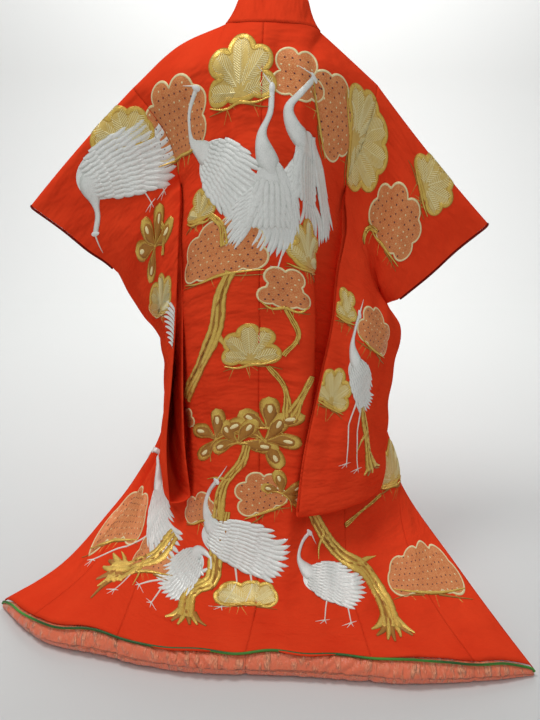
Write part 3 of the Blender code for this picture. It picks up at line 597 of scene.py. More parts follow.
class Finish:
    # a material: its Principled shader, and a method that makes any other node

    def __init__(self, name, **sockets):
        self.material = bpy.data.materials.new(name)
        self.material.use_nodes = True
        self.tree = self.material.node_tree
        self.shader = self.tree.nodes["Principled BSDF"]
        self.set(self.shader, {key.replace("_", " "): value for key, value in sockets.items()})

    def set(self, node, sockets):
        for key, value in sockets.items():
            socket = node.inputs[key]
            if isinstance(value, Wire):
                self.tree.links.new(value.socket, socket)
            else:
                socket.default_value = value

    def node(self, kind, settings, sockets, output=0):
        made = self.tree.nodes.new(kind)
        for key, value in settings.items():
            setattr(made, key, value)
        self.set(made, sockets)
        return Wire(self, made.outputs[output])

    def mix(self, share, one, other):
        sockets = {"Factor": share, 6: one, 7: other}  # 6 and 7 are the colour inputs, 2 the colour output
        return self.node("ShaderNodeMix", {"data_type": "RGBA"}, sockets, output=2)

    def place(self, scale):
        # cloth coordinates in metres, out and down, times scale
        spot = self.node("ShaderNodeUVMap", {"uv_map": "cloth"}, {})
        return self.node("ShaderNodeVectorMath", {"operation": "MULTIPLY"}, {0: spot, 1: scale})

    def edge(self):
        # 0 along the middle of a row of stitches, 1 at its rim
        spot = self.node("ShaderNodeUVMap", {"uv_map": "edge"}, {})
        return self.node("ShaderNodeSeparateXYZ", {}, {"Vector": spot})

    def noise(self, scale, detail=3.0, rough=0.5):
        sockets = {"Vector": self.place(scale), "Scale": 1.0, "Detail": detail, "Roughness": rough}
        return self.node("ShaderNodeTexNoise", {"noise_dimensions": "2D"}, sockets)

    def bump(self, height, distance, strength=1.0):
        sockets = {"Height": height, "Distance": distance, "Strength": strength}
        self.set(self.shader, {"Normal": self.node("ShaderNodeBump", {}, sockets)})


def colour(red, green, blue):
    # a colour as it shows on a screen, 0 to 255, made linear
    values = []
    for part in (red, green, blue):
        part = part / 255.0
        values.append(part / 12.92 if part <= 0.04045 else ((part + 0.055) / 1.055) ** 2.4)
    return (*values, 1.0)


looks = {
    "red": colour(238, 72, 38),
    "redDeepToneAndShade": colour(222, 58, 30),
    "coral": colour(255, 166, 124),
    "coralDeep": colour(240, 110, 72),
    "green": colour(74, 158, 40),
    "greenShade": colour(34, 84, 22),
    "maroon": colour(110, 26, 20),
}


# noise is given in waves a metre, out and down
satinLook = {
    "shader": {"Roughness": 0.5, "Specular_IOR_Level": 0.0, "Sheen_Weight": 0.16, "Sheen_Roughness": 0.35},
    "patchesAndCrumpleShade": (9.0, 9.0, 1.0),
    "grain": (1400.0, 420.0, 1.0),
    "wrinkles": (7.0, 16.0, 1.0),
    "grainShare": 0.02,
    "depth": 0.024,
    "strength": 0.7,
}
rollLook = {
    "shader": {"Roughness": 0.34, "Sheen_Weight": 0.2},
    "waves": (16.0, 44.0, 1.0),
    "waveRough": 0.55,
    "paintedHighlightLeast": 0.10,
    "paintedHighlight": 20.0,
    "grain": (420.0, 90.0, 1.0),
    "creaseShare": 9.0,
    "grainShare": 0.06,
    "depth": 0.016,
    "strength": 0.9,
}
cordLook = {
    "rough": 0.45,
    "turns": (900.0, 300.0, 1.0),
    "shade": (16.0, 4.0, 1.0),
    "dark": 0.4,
    "contrast": 5.0,
    "depth": 0.0006,
    "strength": 0.6,
}


def satinFinish(name, light, deepToneAndShade):
    plan = satinLook
    satin = Finish(name, **plan["shader"])
    satin.set(satin.shader, {"Sheen Tint": light})
    # partly tone that differs at random, partly painted shade: darker patches of red stand in for the shade
    # of crumples
    satin.set(satin.shader, {"Base Color": satin.mix(satin.noise(plan["patchesAndCrumpleShade"]), deepToneAndShade, light)})
    grain = satin.noise(plan["grain"], 1.0)
    wrinkles = satin.noise(plan["wrinkles"], 3.0, 0.5)
    satin.bump(wrinkles + plan["grainShare"] * grain, plan["depth"], plan["strength"])
    return satin


def rollFinish(name):
    # painted highlights on the creases where the satin is gathered
    plan = rollLook
    satin = Finish(name, **plan["shader"])
    waves = satin.noise(plan["waves"], 3.0, plan["waveRough"]) - 0.5
    creases = waves * waves
    paintedHighlight = (plan["paintedHighlightLeast"] + plan["paintedHighlight"] * creases).clamped()
    # painted highlight: the coral lightens where the creases are
    satin.set(satin.shader, {"Base Color": satin.mix(paintedHighlight, looks["coralDeep"], looks["coral"])})
    grain = satin.noise(plan["grain"], 2.0)
    satin.bump(plan["creaseShare"] * creases + plan["grainShare"] * grain, plan["depth"], plan["strength"])
    return satin


def cordFinish(name):
    plan = cordLook
    cord = Finish(name, Roughness=plan["rough"])
    turns = cord.noise(plan["turns"], 1.0)
    shade = cord.noise(plan["shade"], 1.0)
    # painted shade: the green darkens in long stretches along the piping
    paintedShadeGreen = cord.mix(((shade - plan["dark"]) * plan["contrast"]).clamped(), looks["greenShade"], looks["green"])
    cord.set(cord.shader, {"Base Color": paintedShadeGreen})
    cord.bump(turns, plan["depth"], plan["strength"])
    return cord


def makePiece(name, points, faces, spots, finish, replaced=(), edges=None):
    # points are above the floor, faces are groups of equal size, spots are cloth coordinates
    mesh = bpy.data.meshes.new(name)
    lowered = np.asarray(points, float) - np.array([0.0, 0.0, robe["holdHeight"]])
    corners = np.concatenate([group.ravel() for group in faces])
    sizes = np.concatenate([np.full(len(group), group.shape[1]) for group in faces])
    mesh.vertices.add(len(lowered))
    mesh.vertices.foreach_set("co", lowered.ravel())
    mesh.loops.add(len(corners))
    mesh.loops.foreach_set("vertex_index", corners.astype(np.int32))
    mesh.polygons.add(len(sizes))
    mesh.polygons.foreach_set("loop_start", (np.cumsum(sizes) - sizes).astype(np.int32))
    mesh.update(calc_edges=True)
    layer = mesh.uv_layers.new(name="cloth")
    layer.data.foreach_set("uv", np.asarray(spots, float)[corners].ravel())
    if edges is not None:
        layer = mesh.uv_layers.new(name="edge")
        layer.data.foreach_set("uv", np.repeat(np.asarray(edges, float)[corners], 2))
    mesh.validate()
    mesh.shade_smooth()
    mesh.materials.append(finish.material)
    piece = bpy.data.objects.new(name, mesh)
    bpy.context.scene.collection.objects.link(piece)
    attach(piece, "root")
    if replaced:
        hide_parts(*replaced)
    return piece


def gridFaces(index, flip=False):
    quads = np.stack([index[:-1, :-1], index[1:, :-1], index[1:, 1:], index[:-1, 1:]], -1).reshape(-1, 4)
    return quads[:, ::-1] if flip else quads


def thicken(piece, thickness):
    # the grid is the middle of the cloth
    wall = piece.modifiers.new("Wall", "SOLIDIFY")
    wall.thickness = thickness
    wall.offset = 0.0


def numbered(grid, first=0):
    return first + np.arange(grid.shape[0] * grid.shape[1]).reshape(grid.shape[:2])


def compact(faces, count, first=0):
    # which points the faces use, and the faces with just these numbered, from first on
    used = np.unique(faces)
    renumber = np.zeros(count, int)
    renumber[used] = first + np.arange(len(used))
    return used, renumber[faces]


def gridSpots(rows, columns, side=1):
    across, along = np.meshgrid(columns * side, rows)
    return np.stack([across, along], -1)


def makeLength(name, side, back, front, out, downs, finish, replaced):
    # one cloth from the hem of the back over the shoulder to the hem of the front
    neckCount = round(robe["backColumns"] * robe["neckShare"])
    seamColumn = back.shape[1] - 1
    first = numbered(back)
    second = numbered(front, first.size)
    second[0] = first[0, neckCount:][::-1]
    points = np.concatenate([back.reshape(-1, 3), front.reshape(-1, 3)])
    columns = out[: seamColumn + 1], out[seamColumn : seamColumn + front.shape[1]]
    spots = np.concatenate([gridSpots(downs, places, side).reshape(-1, 2) for places in columns])
    faces = np.concatenate([gridFaces(first, side > 0), gridFaces(second, side > 0)])
    used, faces = compact(faces, len(points))
    piece = makePiece(name, points[used], [faces], spots[used], finish, replaced)
    thicken(piece, robe["clothThickness"])
    return piece


def makePanel(name, grid, spots, finish, thickness, replaced, flip=False):
    faces = [gridFaces(numbered(grid), flip)]
    points, spots = grid.reshape(-1, 3), spots.reshape(-1, 2)
    piece = makePiece(name, points, faces, spots, finish, replaced)
    thicken(piece, thickness)
    return piece


def makeSleeve(name, side, finish, replaced):
    back, front, shared, out, downs = sleeveLayers(side)
    first = numbered(back)
    second = np.where(shared, first, 0)
    second[~shared] = first.size + np.arange(int((~shared).sum()))
    points = np.concatenate([back.reshape(-1, 3), front[~shared]])
    points[first[shared]] = (back[shared] + front[shared]) / 2
    spots = gridSpots(downs, out + sleeves["spotsFrom"], side)
    spots = np.concatenate([spots.reshape(-1, 2), spots[~shared]])
    faces = np.concatenate([gridFaces(first, side > 0), gridFaces(second, side < 0)])
    piece = makePiece(name, points, [faces], spots, finish, replaced)
    thicken(piece, robe["clothThickness"])
    return piece, back, out, downs


def tubeGrid(path, radii, sides, aside, above):
    a = np.linspace(0.0, 2 * math.pi, sides, endpoint=False)
    ring = np.cos(a)[None, :, None] * aside[:, None] + np.sin(a)[None, :, None] * above[:, None]
    return path[:, None] + ring * np.asarray(radii)[:, None, None]


def makeTube(name, grid, along, finish, replaced, closed=False):
    # grid is rings of points round a line
    sides = grid.shape[1]
    index = numbered(grid)
    wrapped = np.concatenate([index, index[:, :1]], axis=1)
    if closed:
        faces = [gridFaces(np.concatenate([wrapped, wrapped[:1]], axis=0))]
    else:
        faces = [gridFaces(wrapped), index[:1], index[-1:, ::-1]]
    radius = np.linalg.norm(grid - grid.mean(axis=1, keepdims=True), axis=-1).mean()
    turn = np.linspace(0.0, 2 * math.pi * radius, sides, endpoint=False)
    spots = np.stack(np.broadcast_arrays(turn[None, :], along[:, None]), -1)
    return makePiece(name, grid.reshape(-1, 3), faces, spots.reshape(-1, 2), finish, replaced)


def fromLeft(halves):
    # two rows that start at the centre back, left and right, as one row from the left end
    left, right = halves
    return np.concatenate([left[:0:-1], right])


def collarPlace():
    # the collar's seam from its left end round the neck to its right end, with its stance there
    downs = np.array([0.0, *np.linspace(collar["firstStep"], collar["end"], collar["steps"])])
    neckCount = collar["neckSteps"]
    settled = 1.0 + np.clip(downs[1:] / collar["settles"], 0.0, 1.0) * (collarStance[-1][0] - 1.0)
    stance = np.concatenate([np.linspace(0.0, 1.0, neckCount + 1), settled])
    lines = []
    for table in (leftSide, rightSide):
        edge = through([row[0] for row in table], [row[3] for row in table], downs)
        edge = partLayers(edge[:, None, :], downs, np.ones(1), 1.0)[:, 0]
        neck = neckLine(np.array(centreBack[0][1:]), np.array(table[0][3]), neckCount)
        lines.append(np.concatenate([neck, edge[1:]]))
    return fromLeft(lines), fromLeft((-stance, stance))


def makeCollar(finish):
    line, stance = collarPlace()
    lean = through([row[0] for row in collarStance], [row[1:] for row in collarStance], np.abs(stance))
    lean[:, 0] *= -np.sign(stance)
    ahead = unit(np.gradient(line, axis=0))
    lean = unit(lean - ahead * (lean * ahead).sum(axis=1, keepdims=True))
    steps = np.linspace(collar["seamRoom"], collar["seamRoom"] + collar["width"], collar["across"])
    grid = line[:, None] + lean[:, None] * steps[None, :, None]
    along = lengths(line)
    spots = np.stack(np.broadcast_arrays(steps[None, :], along[:, None]), -1)
    waves = rumple(collar["rumpleSeed"], collar["rumpleSize"], steps[None, :], along[:, None])
    grid = grid + unit(np.cross(ahead, lean))[:, None] * (collar["rumple"] * waves)[..., None]
    replaced = ["collar_left", "collar_right"]
    piece = makePanel("collar", grid, spots, finish, collar["thickness"], replaced)


def hemPlace():
    # the padded hem's middle line, the way out from it, its radius and how far out its points are
    (leftEdge, leftOut), (rightEdge, rightOut) = hemEdge(-1), hemEdge(1)
    line, out = fromLeft((leftEdge, rightEdge)), fromLeft((-leftOut, rightOut))
    ahead = unit(np.gradient(line, axis=0) * np.array([1.0, 1.0, 0.0]))
    away = np.cross(ahead, upward)
    radius = rollRadius(np.abs(out))
    turn = math.radians(piping["turn"])
    under = math.cos(turn) * (radius + piping["radius"]) - piping["radius"]
    centre = line - away * under[:, None]
    centre[:, 2] = radius
    return centre, away, radius, out


def pipingTurn(out):
    wave = rumple(piping["waveSeed"], piping["waveLength"], out, 0.0 * out) * piping["waveScale"]
    calm = smoothStep(*piping["calm"], np.abs(out))
    return np.radians(piping["turn"] + piping["wave"] * wave * calm)


def puckerSize(at, angle):
    # how far each point of the roll is from its middle line, as a share of the radius
    face, slant, swell = puckerFace, puckerSlant, puckerSwell
    outer = face["least"] + face["most"] * np.clip(np.cos(angle - face["turn"]), 0.0, 1.0)
    place = at + slant["reach"] * np.sin(slant["twist"] * angle + slant["rate"] * at)
    pucker = 0.0
    for share, length, wander, rate, twist in puckers:
        phase = math.pi * place / length + wander * np.sin(place * rate + twist * angle)
        pucker = pucker + share * np.abs(np.sin(phase))
    pucker = pucker * (swell["least"] + swell["most"] * np.sin(at * swell["rate"] + swell["twist"] * angle))
    return 1.0 - hemPads["pucker"] * outer * (1.0 - pucker)


def makeHem(rollSatin, cord):
    centre, away, radius, out = hemPlace()
    along = lengths(centre)
    at = np.linspace(0.0, 1.0, hemPads["steps"]) * along[-1]
    centre, away = (
        np.stack([np.interp(at, along, line[:, k]) for k in range(3)], 1) for line in (centre, away)
    )
    away = unit(away)
    radius, out = np.interp(at, along, radius), np.interp(at, along, out)
    upwards = np.broadcast_to(upward, away.shape)
    grid = tubeGrid(np.zeros_like(centre), radius, hemPads["sides"], away, upwards)
    angle = np.linspace(0.0, 2 * math.pi, hemPads["sides"], endpoint=False)[None, :]
    grid = centre[:, None] + grid * puckerSize(at[:, None], angle)[..., None]
    grid[..., 2] = np.maximum(grid[..., 2], hemPads["clear"])
    seams = [0.0, robe["backWidth"], robe["backWidth"] + robe["frontWidth"]]
    seams.append(seams[-1] + robe["okumiWidth"])
    for side, which in ((-1, "left"), (1, "right")):
        for low, high, panel in zip(seams[:-1], seams[1:], ("back", "front", "okumi")):
            inside = (out * side > low - hemPads["lap"]) & (out * side < high + 1e-6)
            rings, middle = grid[inside], centre[inside][:, None]
            # each end is drawn in where two lengths are sewn together
            edge = np.minimum(out[inside] * side - low, high - out[inside] * side)
            drawn = 1.0 - hemPads["seamDepth"] * np.exp(-((edge / hemPads["seamReach"]) ** 2))
            rings = middle + (rings - middle) * drawn[:, None, None]
            name = "hemPad" + which.capitalize() + panel.capitalize()
            replaced = [f"hem_roll_{panel}_{which}"]
            made = makeTube(name, rings, at[inside], rollSatin, replaced)
    turn, reach = pipingTurn(out), (radius + piping["radius"])[:, None]
    path = centre + reach * (away * np.cos(turn)[:, None] + upward * np.sin(turn)[:, None])
    ahead = unit(np.gradient(path, axis=0))
    above = unit(np.cross(ahead, away))
    radii = np.full(len(path), piping["radius"])
    rings = tubeGrid(path, radii, piping["sides"], np.cross(above, ahead), above)
    makeTube("hemPiping", rings, at, cord, ["hem_piping"])


def makeCuffEdge(name, side, finish, replaced):
    # a roll of lining round the open part of the sleeve's outer edge
    layers, downs = sleeveLayers(side)[:2], sleeveRows()
    rows = downs <= sleeves["cuff"] + 1e-9
    lines, ways = [], []
    for layer in layers:
        ways.append(unit(layer[rows, -1] - layer[rows, -3]))
        lines.append(layer[rows, -1] + ways[-1] * cuffEdges["reach"])
    loop = np.concatenate([lines[0], lines[1][:0:-1]])
    above = np.concatenate([ways[0], ways[1][:0:-1]])
    ahead = unit(np.roll(loop, -1, axis=0) - np.roll(loop, 1, axis=0))
    above = unit(above - ahead * (above * ahead).sum(axis=1, keepdims=True))
    radii = np.full(len(loop), cuffEdges["radius"])
    rings = tubeGrid(loop, radii, cuffEdges["sides"], np.cross(ahead, above), above)
    makeTube(name, rings, lengths(loop), finish, replaced, closed=True)


redSatin = satinFinish("vermilionSatin", looks["red"], looks["redDeepToneAndShade"])
coralSatin = rollFinish("coralSatin")
greenCord = cordFinish("greenCord")
maroonCloth = satinFinish("maroonLining", looks["maroon"], looks["maroon"])

downs = bodyRows()
surfaces = {}
low = downs >= robe["okumiTop"]
for side, which in ((-1, "left"), (1, "right")):
    part = which.capitalize()
    back, front, okumi, out = bodyPanels(side, downs)
    replaced = [f"back_{which}", f"front_{which}"]
    piece = makeLength("length" + part, side, back, front, out, downs, redSatin, replaced)
    spots = gridSpots(downs[low], out[-okumi.shape[1] :], side)
    replaced = [f"okumi_{which}"]
    thickness = robe["clothThickness"]
    panel = makePanel("okumi" + part, okumi[low], spots, redSatin, thickness, replaced, side > 0)
    replaced = [f"sleeve_back_{which}", f"sleeve_front_{which}"]
    piece, layer, sleeveOut, sleeveDowns = makeSleeve("sleeve" + part, side, redSatin, replaced)
    makeCuffEdge("cuffEdge" + part, side, maroonCloth, [f"cuff_edge_{which}"])
    surfaces[which] = (np.concatenate([back, front[:, 1:], okumi[:, 1:]], axis=1), out, downs)
    surfaces["sleeve" + part] = (layer, sleeveOut, sleeveDowns)
makeCollar(redSatin)
makeHem(coralSatin, greenCord)
print("robe: cloth, collar and padded hem made")


stitching = {
    "tuck": 0.0009,  # how far the edges of the stitches sink into the cloth
    "bladeFall": 0.45,  # how much lower a blade is at its edges than at its ridge
    "ringPoints": 96,
    "rings": 18,
}


def groundOf(grid, out, downs, low, high, above=9.0):
    # a surface to embroider, its columns going to the right as seen from behind the robe; stitches keep
    # between low and high where they are above the given level
    ground = {"grid": grid, "outward": -normals(grid), "out": out, "downs": downs}
    return {**ground, "low": low, "high": high, "above": above}


def onGround(ground, spots, lift):
    # spots are cloth coordinates; lift is the height over the cloth's outer face
    i = np.interp(spots[..., 1], ground["downs"], np.arange(len(ground["downs"])))
    j = np.interp(spots[..., 0], ground["out"], np.arange(len(ground["out"])))
    row = np.clip(np.floor(i).astype(int), 0, len(ground["downs"]) - 2)
    column = np.clip(np.floor(j).astype(int), 0, len(ground["out"]) - 2)
    fi, fj = (i - row)[..., None], (j - column)[..., None]

    def blended(values):
        upper = values[row, column] * (1 - fj) + values[row, column + 1] * fj
        lower = values[row + 1, column] * (1 - fj) + values[row + 1, column + 1] * fj
        return upper * (1 - fi) + lower * fi

    height = lift + robe["clothThickness"] / 2
    return blended(ground["grid"]) + unit(blended(ground["outward"])) * height[..., None]


threads = {}


def stitch(thread, grounds, spots, lift, fill=None, edge=0.0):
    # adds a grid of stitches to what is made of one thread; fill is its own coordinates for the finish
    store = threads.setdefault(thread, {"points": [], "faces": [], "fill": [], "edge": [], "count": 0})
    edge = np.broadcast_to(edge, spots.shape[:2])
    fill = spots if fill is None else fill
    ahead, aside = np.diff(spots, axis=0)[:, :-1], np.diff(spots, axis=1)[:-1]
    turned = (aside[..., 0] * ahead[..., 1] - aside[..., 1] * ahead[..., 0]).sum() < 0
    for ground in grounds:
        faces = gridFaces(numbered(spots), turned)
        held = spots[..., 1] <= ground["above"]
        within = (spots[..., 0] > ground["low"]) & (spots[..., 0] < ground["high"]) | ~held
        faces = faces[within.ravel()[faces].any(axis=1)]
        if not len(faces):
            continue
        used, faces = compact(faces, held.size, store["count"])
        kept = spots.copy()
        kept[held, 0] = np.clip(kept[held, 0], ground["low"], ground["high"])
        store["points"].append(onGround(ground, kept, lift).reshape(-1, 3)[used])
        store["faces"].append(faces)
        store["fill"].append(fill.reshape(-1, 2)[used])
        store["edge"].append(edge.ravel()[used])
        store["count"] += len(used)


def makeThreads(name, thread, finish):
    store = threads.pop(thread)
    points, spots, edges = (np.concatenate(store[key]) for key in ("points", "fill", "edge"))
    return makePiece(name, points, [np.concatenate(store["faces"])], spots, finish, edges=edges)


def swept(points, count):
    # a smooth path through a few spots
    points = np.asarray(points, float)
    if len(points) == 2:
        return points[0] + (points[1] - points[0]) * np.linspace(0.0, 1.0, count)[:, None]
    keys = lengths(points)
    return through(keys, points, np.linspace(0.0, keys[-1], count))


def moved(spots, place, size=1.0, turn=0.0, mirrored=False):
    # from a motif's own coordinates to the cloth's; turn in degrees
    spots = np.asarray(spots, float) * size
    if mirrored:
        spots = spots * [-1.0, 1.0]
    a = math.radians(turn)
    spin = np.array([[math.cos(a), math.sin(a)], [-math.sin(a), math.cos(a)]])
    return spots @ spin + np.asarray(place, float)


def band(thread, ground, path, width, height, base, count, shape="round", columns=5):
    # a satin-stitched band along a path; width may change along it
    path = swept(path, count)
    share = np.linspace(0.0, 1.0, len(path))
    if callable(width):
        width = width(share)
    width = np.broadcast_to(width, share.shape)
    ahead = unit(np.gradient(path, axis=0))
    aside = ahead[:, ::-1] * [1.0, -1.0]
    u = np.linspace(-1.0, 1.0, columns)
    if shape == "round":
        u = np.sin(u * math.pi / 2)
        rise = np.sqrt(np.clip(1.0 - u**2, 0.0, 1.0))
    else:  # a blade with a ridge
        rise = 1.0 - stitching["bladeFall"] * np.abs(u)
        rise[[0, -1]] = 0.0
    spots = path[:, None] + aside[:, None] * (u[None, :] * width[:, None] / 2)[..., None]
    narrow = np.clip(width / max(float(width.max()), 1e-9), 0.0, 1.0) ** 0.5
    lift = rise[None, :] * (height * narrow)[:, None] + base
    lift[:, [0, -1]] -= stitching["tuck"]
    along = lengths(path)
    fill = np.stack(np.broadcast_arrays(u[None, :] * width[:, None] / 2, along[:, None]), -1)
    stitch(thread, ground, spots, lift, fill, np.abs(u)[None, :])


def pointed(width, root=0.35, fullAt=0.45, blunt=1.5):
    # a leaf's width: root at its start, full in the middle, a point at its end that blunt makes rounder
    def shape(share):
        grown = root + (1.0 - root) * smoothStep(0.0, fullAt, share)
        ending = np.clip((share - fullAt) / (1.0 - fullAt), 0.0, 1.0) ** blunt
        return np.maximum(width * grown * np.sqrt(1.0 - ending), 2e-4)

    return shape


def tapered(start, end):
    return lambda share: start + (end - start) * share


def patch(thread, ground, outline, centre, height, base=0.0, dome=0.5):
    # a filled shape, closed round its centre
    scale = np.sin(np.linspace(0.0, 1.0, stitching["rings"]) * math.pi / 2)
    closed = np.concatenate([outline, outline[:1]])
    spots = centre + (closed - centre)[None] * scale[:, None, None]
    lift = base + height * (1.0 - dome * scale**2)
    lift[-1] = base - stitching["tuck"]
    stitch(thread, ground, spots, np.broadcast_to(lift[:, None], spots.shape[:2]))


def scalloped(lobes, centre=(0.0, 0.0)):
    # the outline round a group of overlapping discs, seen from the centre
    a = np.linspace(0.0, 2 * math.pi, stitching["ringPoints"], endpoint=False)
    ray = np.stack([np.cos(a), np.sin(a)], -1)
    reach = np.full(len(a), 1e-4)
    for x, y, r in lobes:
        ahead = ray @ np.array([x - centre[0], y - centre[1]])
        aside = ray[:, 0] * (y - centre[1]) - ray[:, 1] * (x - centre[0])
        inside = np.abs(aside) < r
        far = ahead + np.sqrt(np.clip(r * r - aside**2, 0.0, None))
        reach[inside] = np.maximum(reach[inside], far[inside])
    return np.asarray(centre) + ray * reach[:, None]


# thread, width at the start and at the end, height, base, points along it and across it
strands = {
    "needle": ("needles", 0.0027, 0.0027, 0.0013, 0.0014, 2, 3),
    "spine": ("needles", 0.0030, 0.0030, 0.0012, 0.0014, 4, 3),
    "twig": ("gold", 0.0100, 0.0024, 0.0026, 0.0014, 10, 5),
    "underTwig": ("darkGold", 0.0062, 0.0014, 0.0018, 0.0006, 9, 5),
    "hanging": ("gold", 0.0032, 0.0008, 0.0012, 0.0, 4, 3),
    "stalk": ("gold", 0.0062, 0.0012, 0.0020, 0.0010, 10, 5),
    "beak": ("palest", 0.0062, 0.0010, 0.0022, 0.0006, 8, 5),
    "thigh": ("palest", 0.0072, 0.0042, 0.0022, 0.0, 8, 5),
    "shin": ("palest", 0.0050, 0.0034, 0.0020, 0.0, 8, 5),
    "toe": ("palest", 0.0038, 0.0010, 0.0016, 0.0, 6, 5),
    "hindToe": ("palest", 0.0032, 0.0010, 0.0014, 0.0, 4, 5),
}


def strand(sort, ground, path):
    thread, start, end, height, base, count, columns = strands[sort]
    band(thread, ground, path, tapered(start, end), height, base, count, columns=columns)


pine = {
    "groundHeight": 0.0014,
    "dome": 0.1,
    "rimWidth": 0.0150,
    "rimHeight": 0.0017,
    "rimInset": 0.0060,
    "rimBase": 0.0004,
    "cordWidth": 0.0062,
    "needleGap": 0.0048,
    "needleSlant": (0.66, 0.75),  # ahead and aside
    "rootAt": 0.30,  # shares of a head's height, down from its middle
    "twigsAt": 0.40,
    "fanStart": 0.16,
    "fanReach": 0.86,
    "fanFrom": 0.10,
    "fanSpan": 0.80,
    "fanPower": 0.6,
    "starGap": 0.0170,
    "starRows": 0.86,
    "starStray": 0.0012,
    "starRoom": 0.008,
    "starHeight": 0.0012,
    "starSink": 0.0004,
    "darkStars": 0.7,
}
# lobes of a head: their size, how far they stray, and the middle disc and feet that fill it
lobe = {
    "middle": (0.06, 0.34),
    "stray": 0.07,
    "size": (0.065, 0.54),
    "sizes": (0.93, 1.08),
    "rise": (0.10, 0.62),
    "rises": (0.96, 1.04),
    "feet": (-0.46, -0.16, 0.16, 0.46),
    "foot": (0.17, 0.27),
}
# each strand's start and bends: out as a share of the half width, then down, or down between two values
twig = {
    "half": 0.46,
    "strands": (
        ("twig", (0.0, 0.004), (0.5, 0.000, 0.010), (1.0, -0.012, 0.004)),
        ("underTwig", (0.2, 0.008), (0.7, 0.008, 0.016), (1.05, 0.006, 0.020)),
    ),
    "needles": 5,
    "from": (-0.7, 0.7),
    "level": (0.002, 0.008),
    "lean": (-0.5, 0.5),
    "drop": (0.35, 0.9),
    "reach": 0.040,
}
clover = {
    "stray": 0.14,
    "bow": 0.07,
    "reach": (0.62, 0.78),
    "leaf": (0.22, 0.60, 3.0),  # root, where it is full, bluntness
    "step": 0.0006,
    "stalk": ((0.24, 0.05), (0.46, 0.16, 0.34)),
}
# lengths and heights in metres; rates, starts, rootSpread and rootStray in radians; the rest are shares
# or counts
bark = {
    "step": 0.006,
    "fewest": 10,
    "height": 0.0026,
    "under": 0.0016,
    "swell": 0.12,
    "swellRate": 9.0,
    "rough": 0.05,
    "strands": (-0.33, 0.0, 0.33),
    "strandWidth": (0.28, 0.50),
    "strandBase": 0.0012,
    "wander": 0.07,
    "wanderRates": (5, 11),
    "wanderStarts": (0, 6),
    "widthSteps": 9,
    "shoot": ((-0.006, 0.0), (0.030, 0.006), (0.050, 0.024)),
    "shootLean": (0.3, 0.6),
    "shootWidth": 0.62,
    "shootTip": 0.0016,
    "shootBase": 0.0006,
    "rootSpread": 2.5,
    "rootStray": 0.15,
    "rootBack": 0.45,
    "rootAside": 0.8,
    "rootBend": (0.55, 0.25),
    "rootTip": (0.16, 0.46),
    "rootSway": (-0.006, 0.006),
    "rootEnd": 0.0060,
    "rootBase": 0.0008,
    "scarsFrom": 0.02,
    "scarsTo": 0.96,
    "scarGap": 0.026,
    "scarAcross": (-0.34, 0.34),
    "scarLean": (-0.3, 0.3),
    "scarReach": (0.014, 0.026),
    "scarWidth": (0.14, 0.24),
    "scarRoot": 0.1,
    "scarHeight": 0.0020,
    "scarBase": 0.0026,
}
# a leaf's layers: thread, from and to along it, width and height
cloverLeaf = (
    ("gold", 0.00, 1.00, 0.36, 0.0022),
    ("darkGold", 0.06, 0.84, 0.27, 0.0030),
    ("needles", 0.40, 0.76, 0.12, 0.0040),
)


def lobesOf(width, height, count, seed, spread=205.0):
    # overlapping discs along an arch, and some that fill their middle and their foot
    rng = np.random.default_rng(seed)
    down, reach = lobe["middle"]
    lobes = [(0.0, down * height, reach * min(width, height))]
    half = math.radians(spread) / 2
    for k in range(count):
        a = -half + 2 * half * k / (count - 1) + rng.uniform(-lobe["stray"], lobe["stray"])
        r = width * (lobe["size"][0] + lobe["size"][1] / count) * rng.uniform(*lobe["sizes"])
        x = (width / 2 - r) * math.sin(a)
        low, high = lobe["rise"]
        y = low * height - (height * high - r) * math.cos(a) * rng.uniform(*lobe["rises"])
        lobes.append((x, y, r))
    down, reach = lobe["foot"]
    for foot in lobe["feet"]:
        lobes.append((foot * (width - height), down * height, reach * height))
    return lobes


def fern(ground, root, tip, reach, place, turn):
    # a spine with slanting needles on both sides
    spine = np.array([root, tip], float)
    length = np.linalg.norm(spine[1] - spine[0])
    way = (spine[1] - spine[0]) / length
    side = way[::-1] * [1.0, -1.0]
    count = max(int(length / pine["needleGap"]), 3)
    ahead, aside = pine["needleSlant"]
    for k in range(count):
        share = (k + 0.5) / count
        start = spine[0] + way * length * share
        swell = math.sin(math.pi * min(pine["fanFrom"] + pine["fanSpan"] * share, 1.0))
        long = reach * swell ** pine["fanPower"]
        for hand in (-1, 1):
            end = start + (way * ahead + side * hand * aside) * long
            strand("needle", ground, moved([start, end], place, 1.0, turn))
    strand("spine", ground, moved(spine, place, 1.0, turn))


def insetOutline(outline, centre, depth):
    away = outline - centre
    far = np.linalg.norm(away, axis=1, keepdims=True)
    return centre + away * np.clip((far - depth) / far, 0.05, 1.0)


def cordRound(thread, ground, outline, width, base):
    # a cord along a closed outline
    path = np.concatenate([outline, outline[:2]])
    band(thread, ground, path, width, pine["rimHeight"], base, 2 * len(outline))


def underTwigs(ground, place, width, height, turn, seed):
    foot = moved([[0.0, pine["twigsAt"] * height]], place, 1.0, turn)[0]
    twigs(ground, foot, width, turn, seed)


def goldPine(ground, place, width, height, count=5, turn=0.0, seed=1, twigged=True):
    # a head of gold needles, a fan of them in each lobe
    lobes = lobesOf(width, height, count, seed)
    centre = np.asarray(place, float)
    outline = moved(scalloped(lobes), place, 1.0, turn)
    patch("paleGold", ground, outline, centre, pine["groundHeight"], dome=pine["dome"])
    root = np.array([0.0, pine["rootAt"] * height])
    for x, y, r in lobes[1 : count + 1]:
        tip = np.array([x, y])
        tip = tip + unit(tip - root) * r * 0.50
        start = root + (tip - root) * pine["fanStart"]
        fern(ground, start, tip, r * pine["fanReach"], place, turn)
    rim = insetOutline(outline, centre, pine["rimInset"])
    cordRound("gold", ground, rim, pine["rimWidth"], pine["rimBase"])
    if twigged:
        underTwigs(ground, place, width, height, turn, seed)


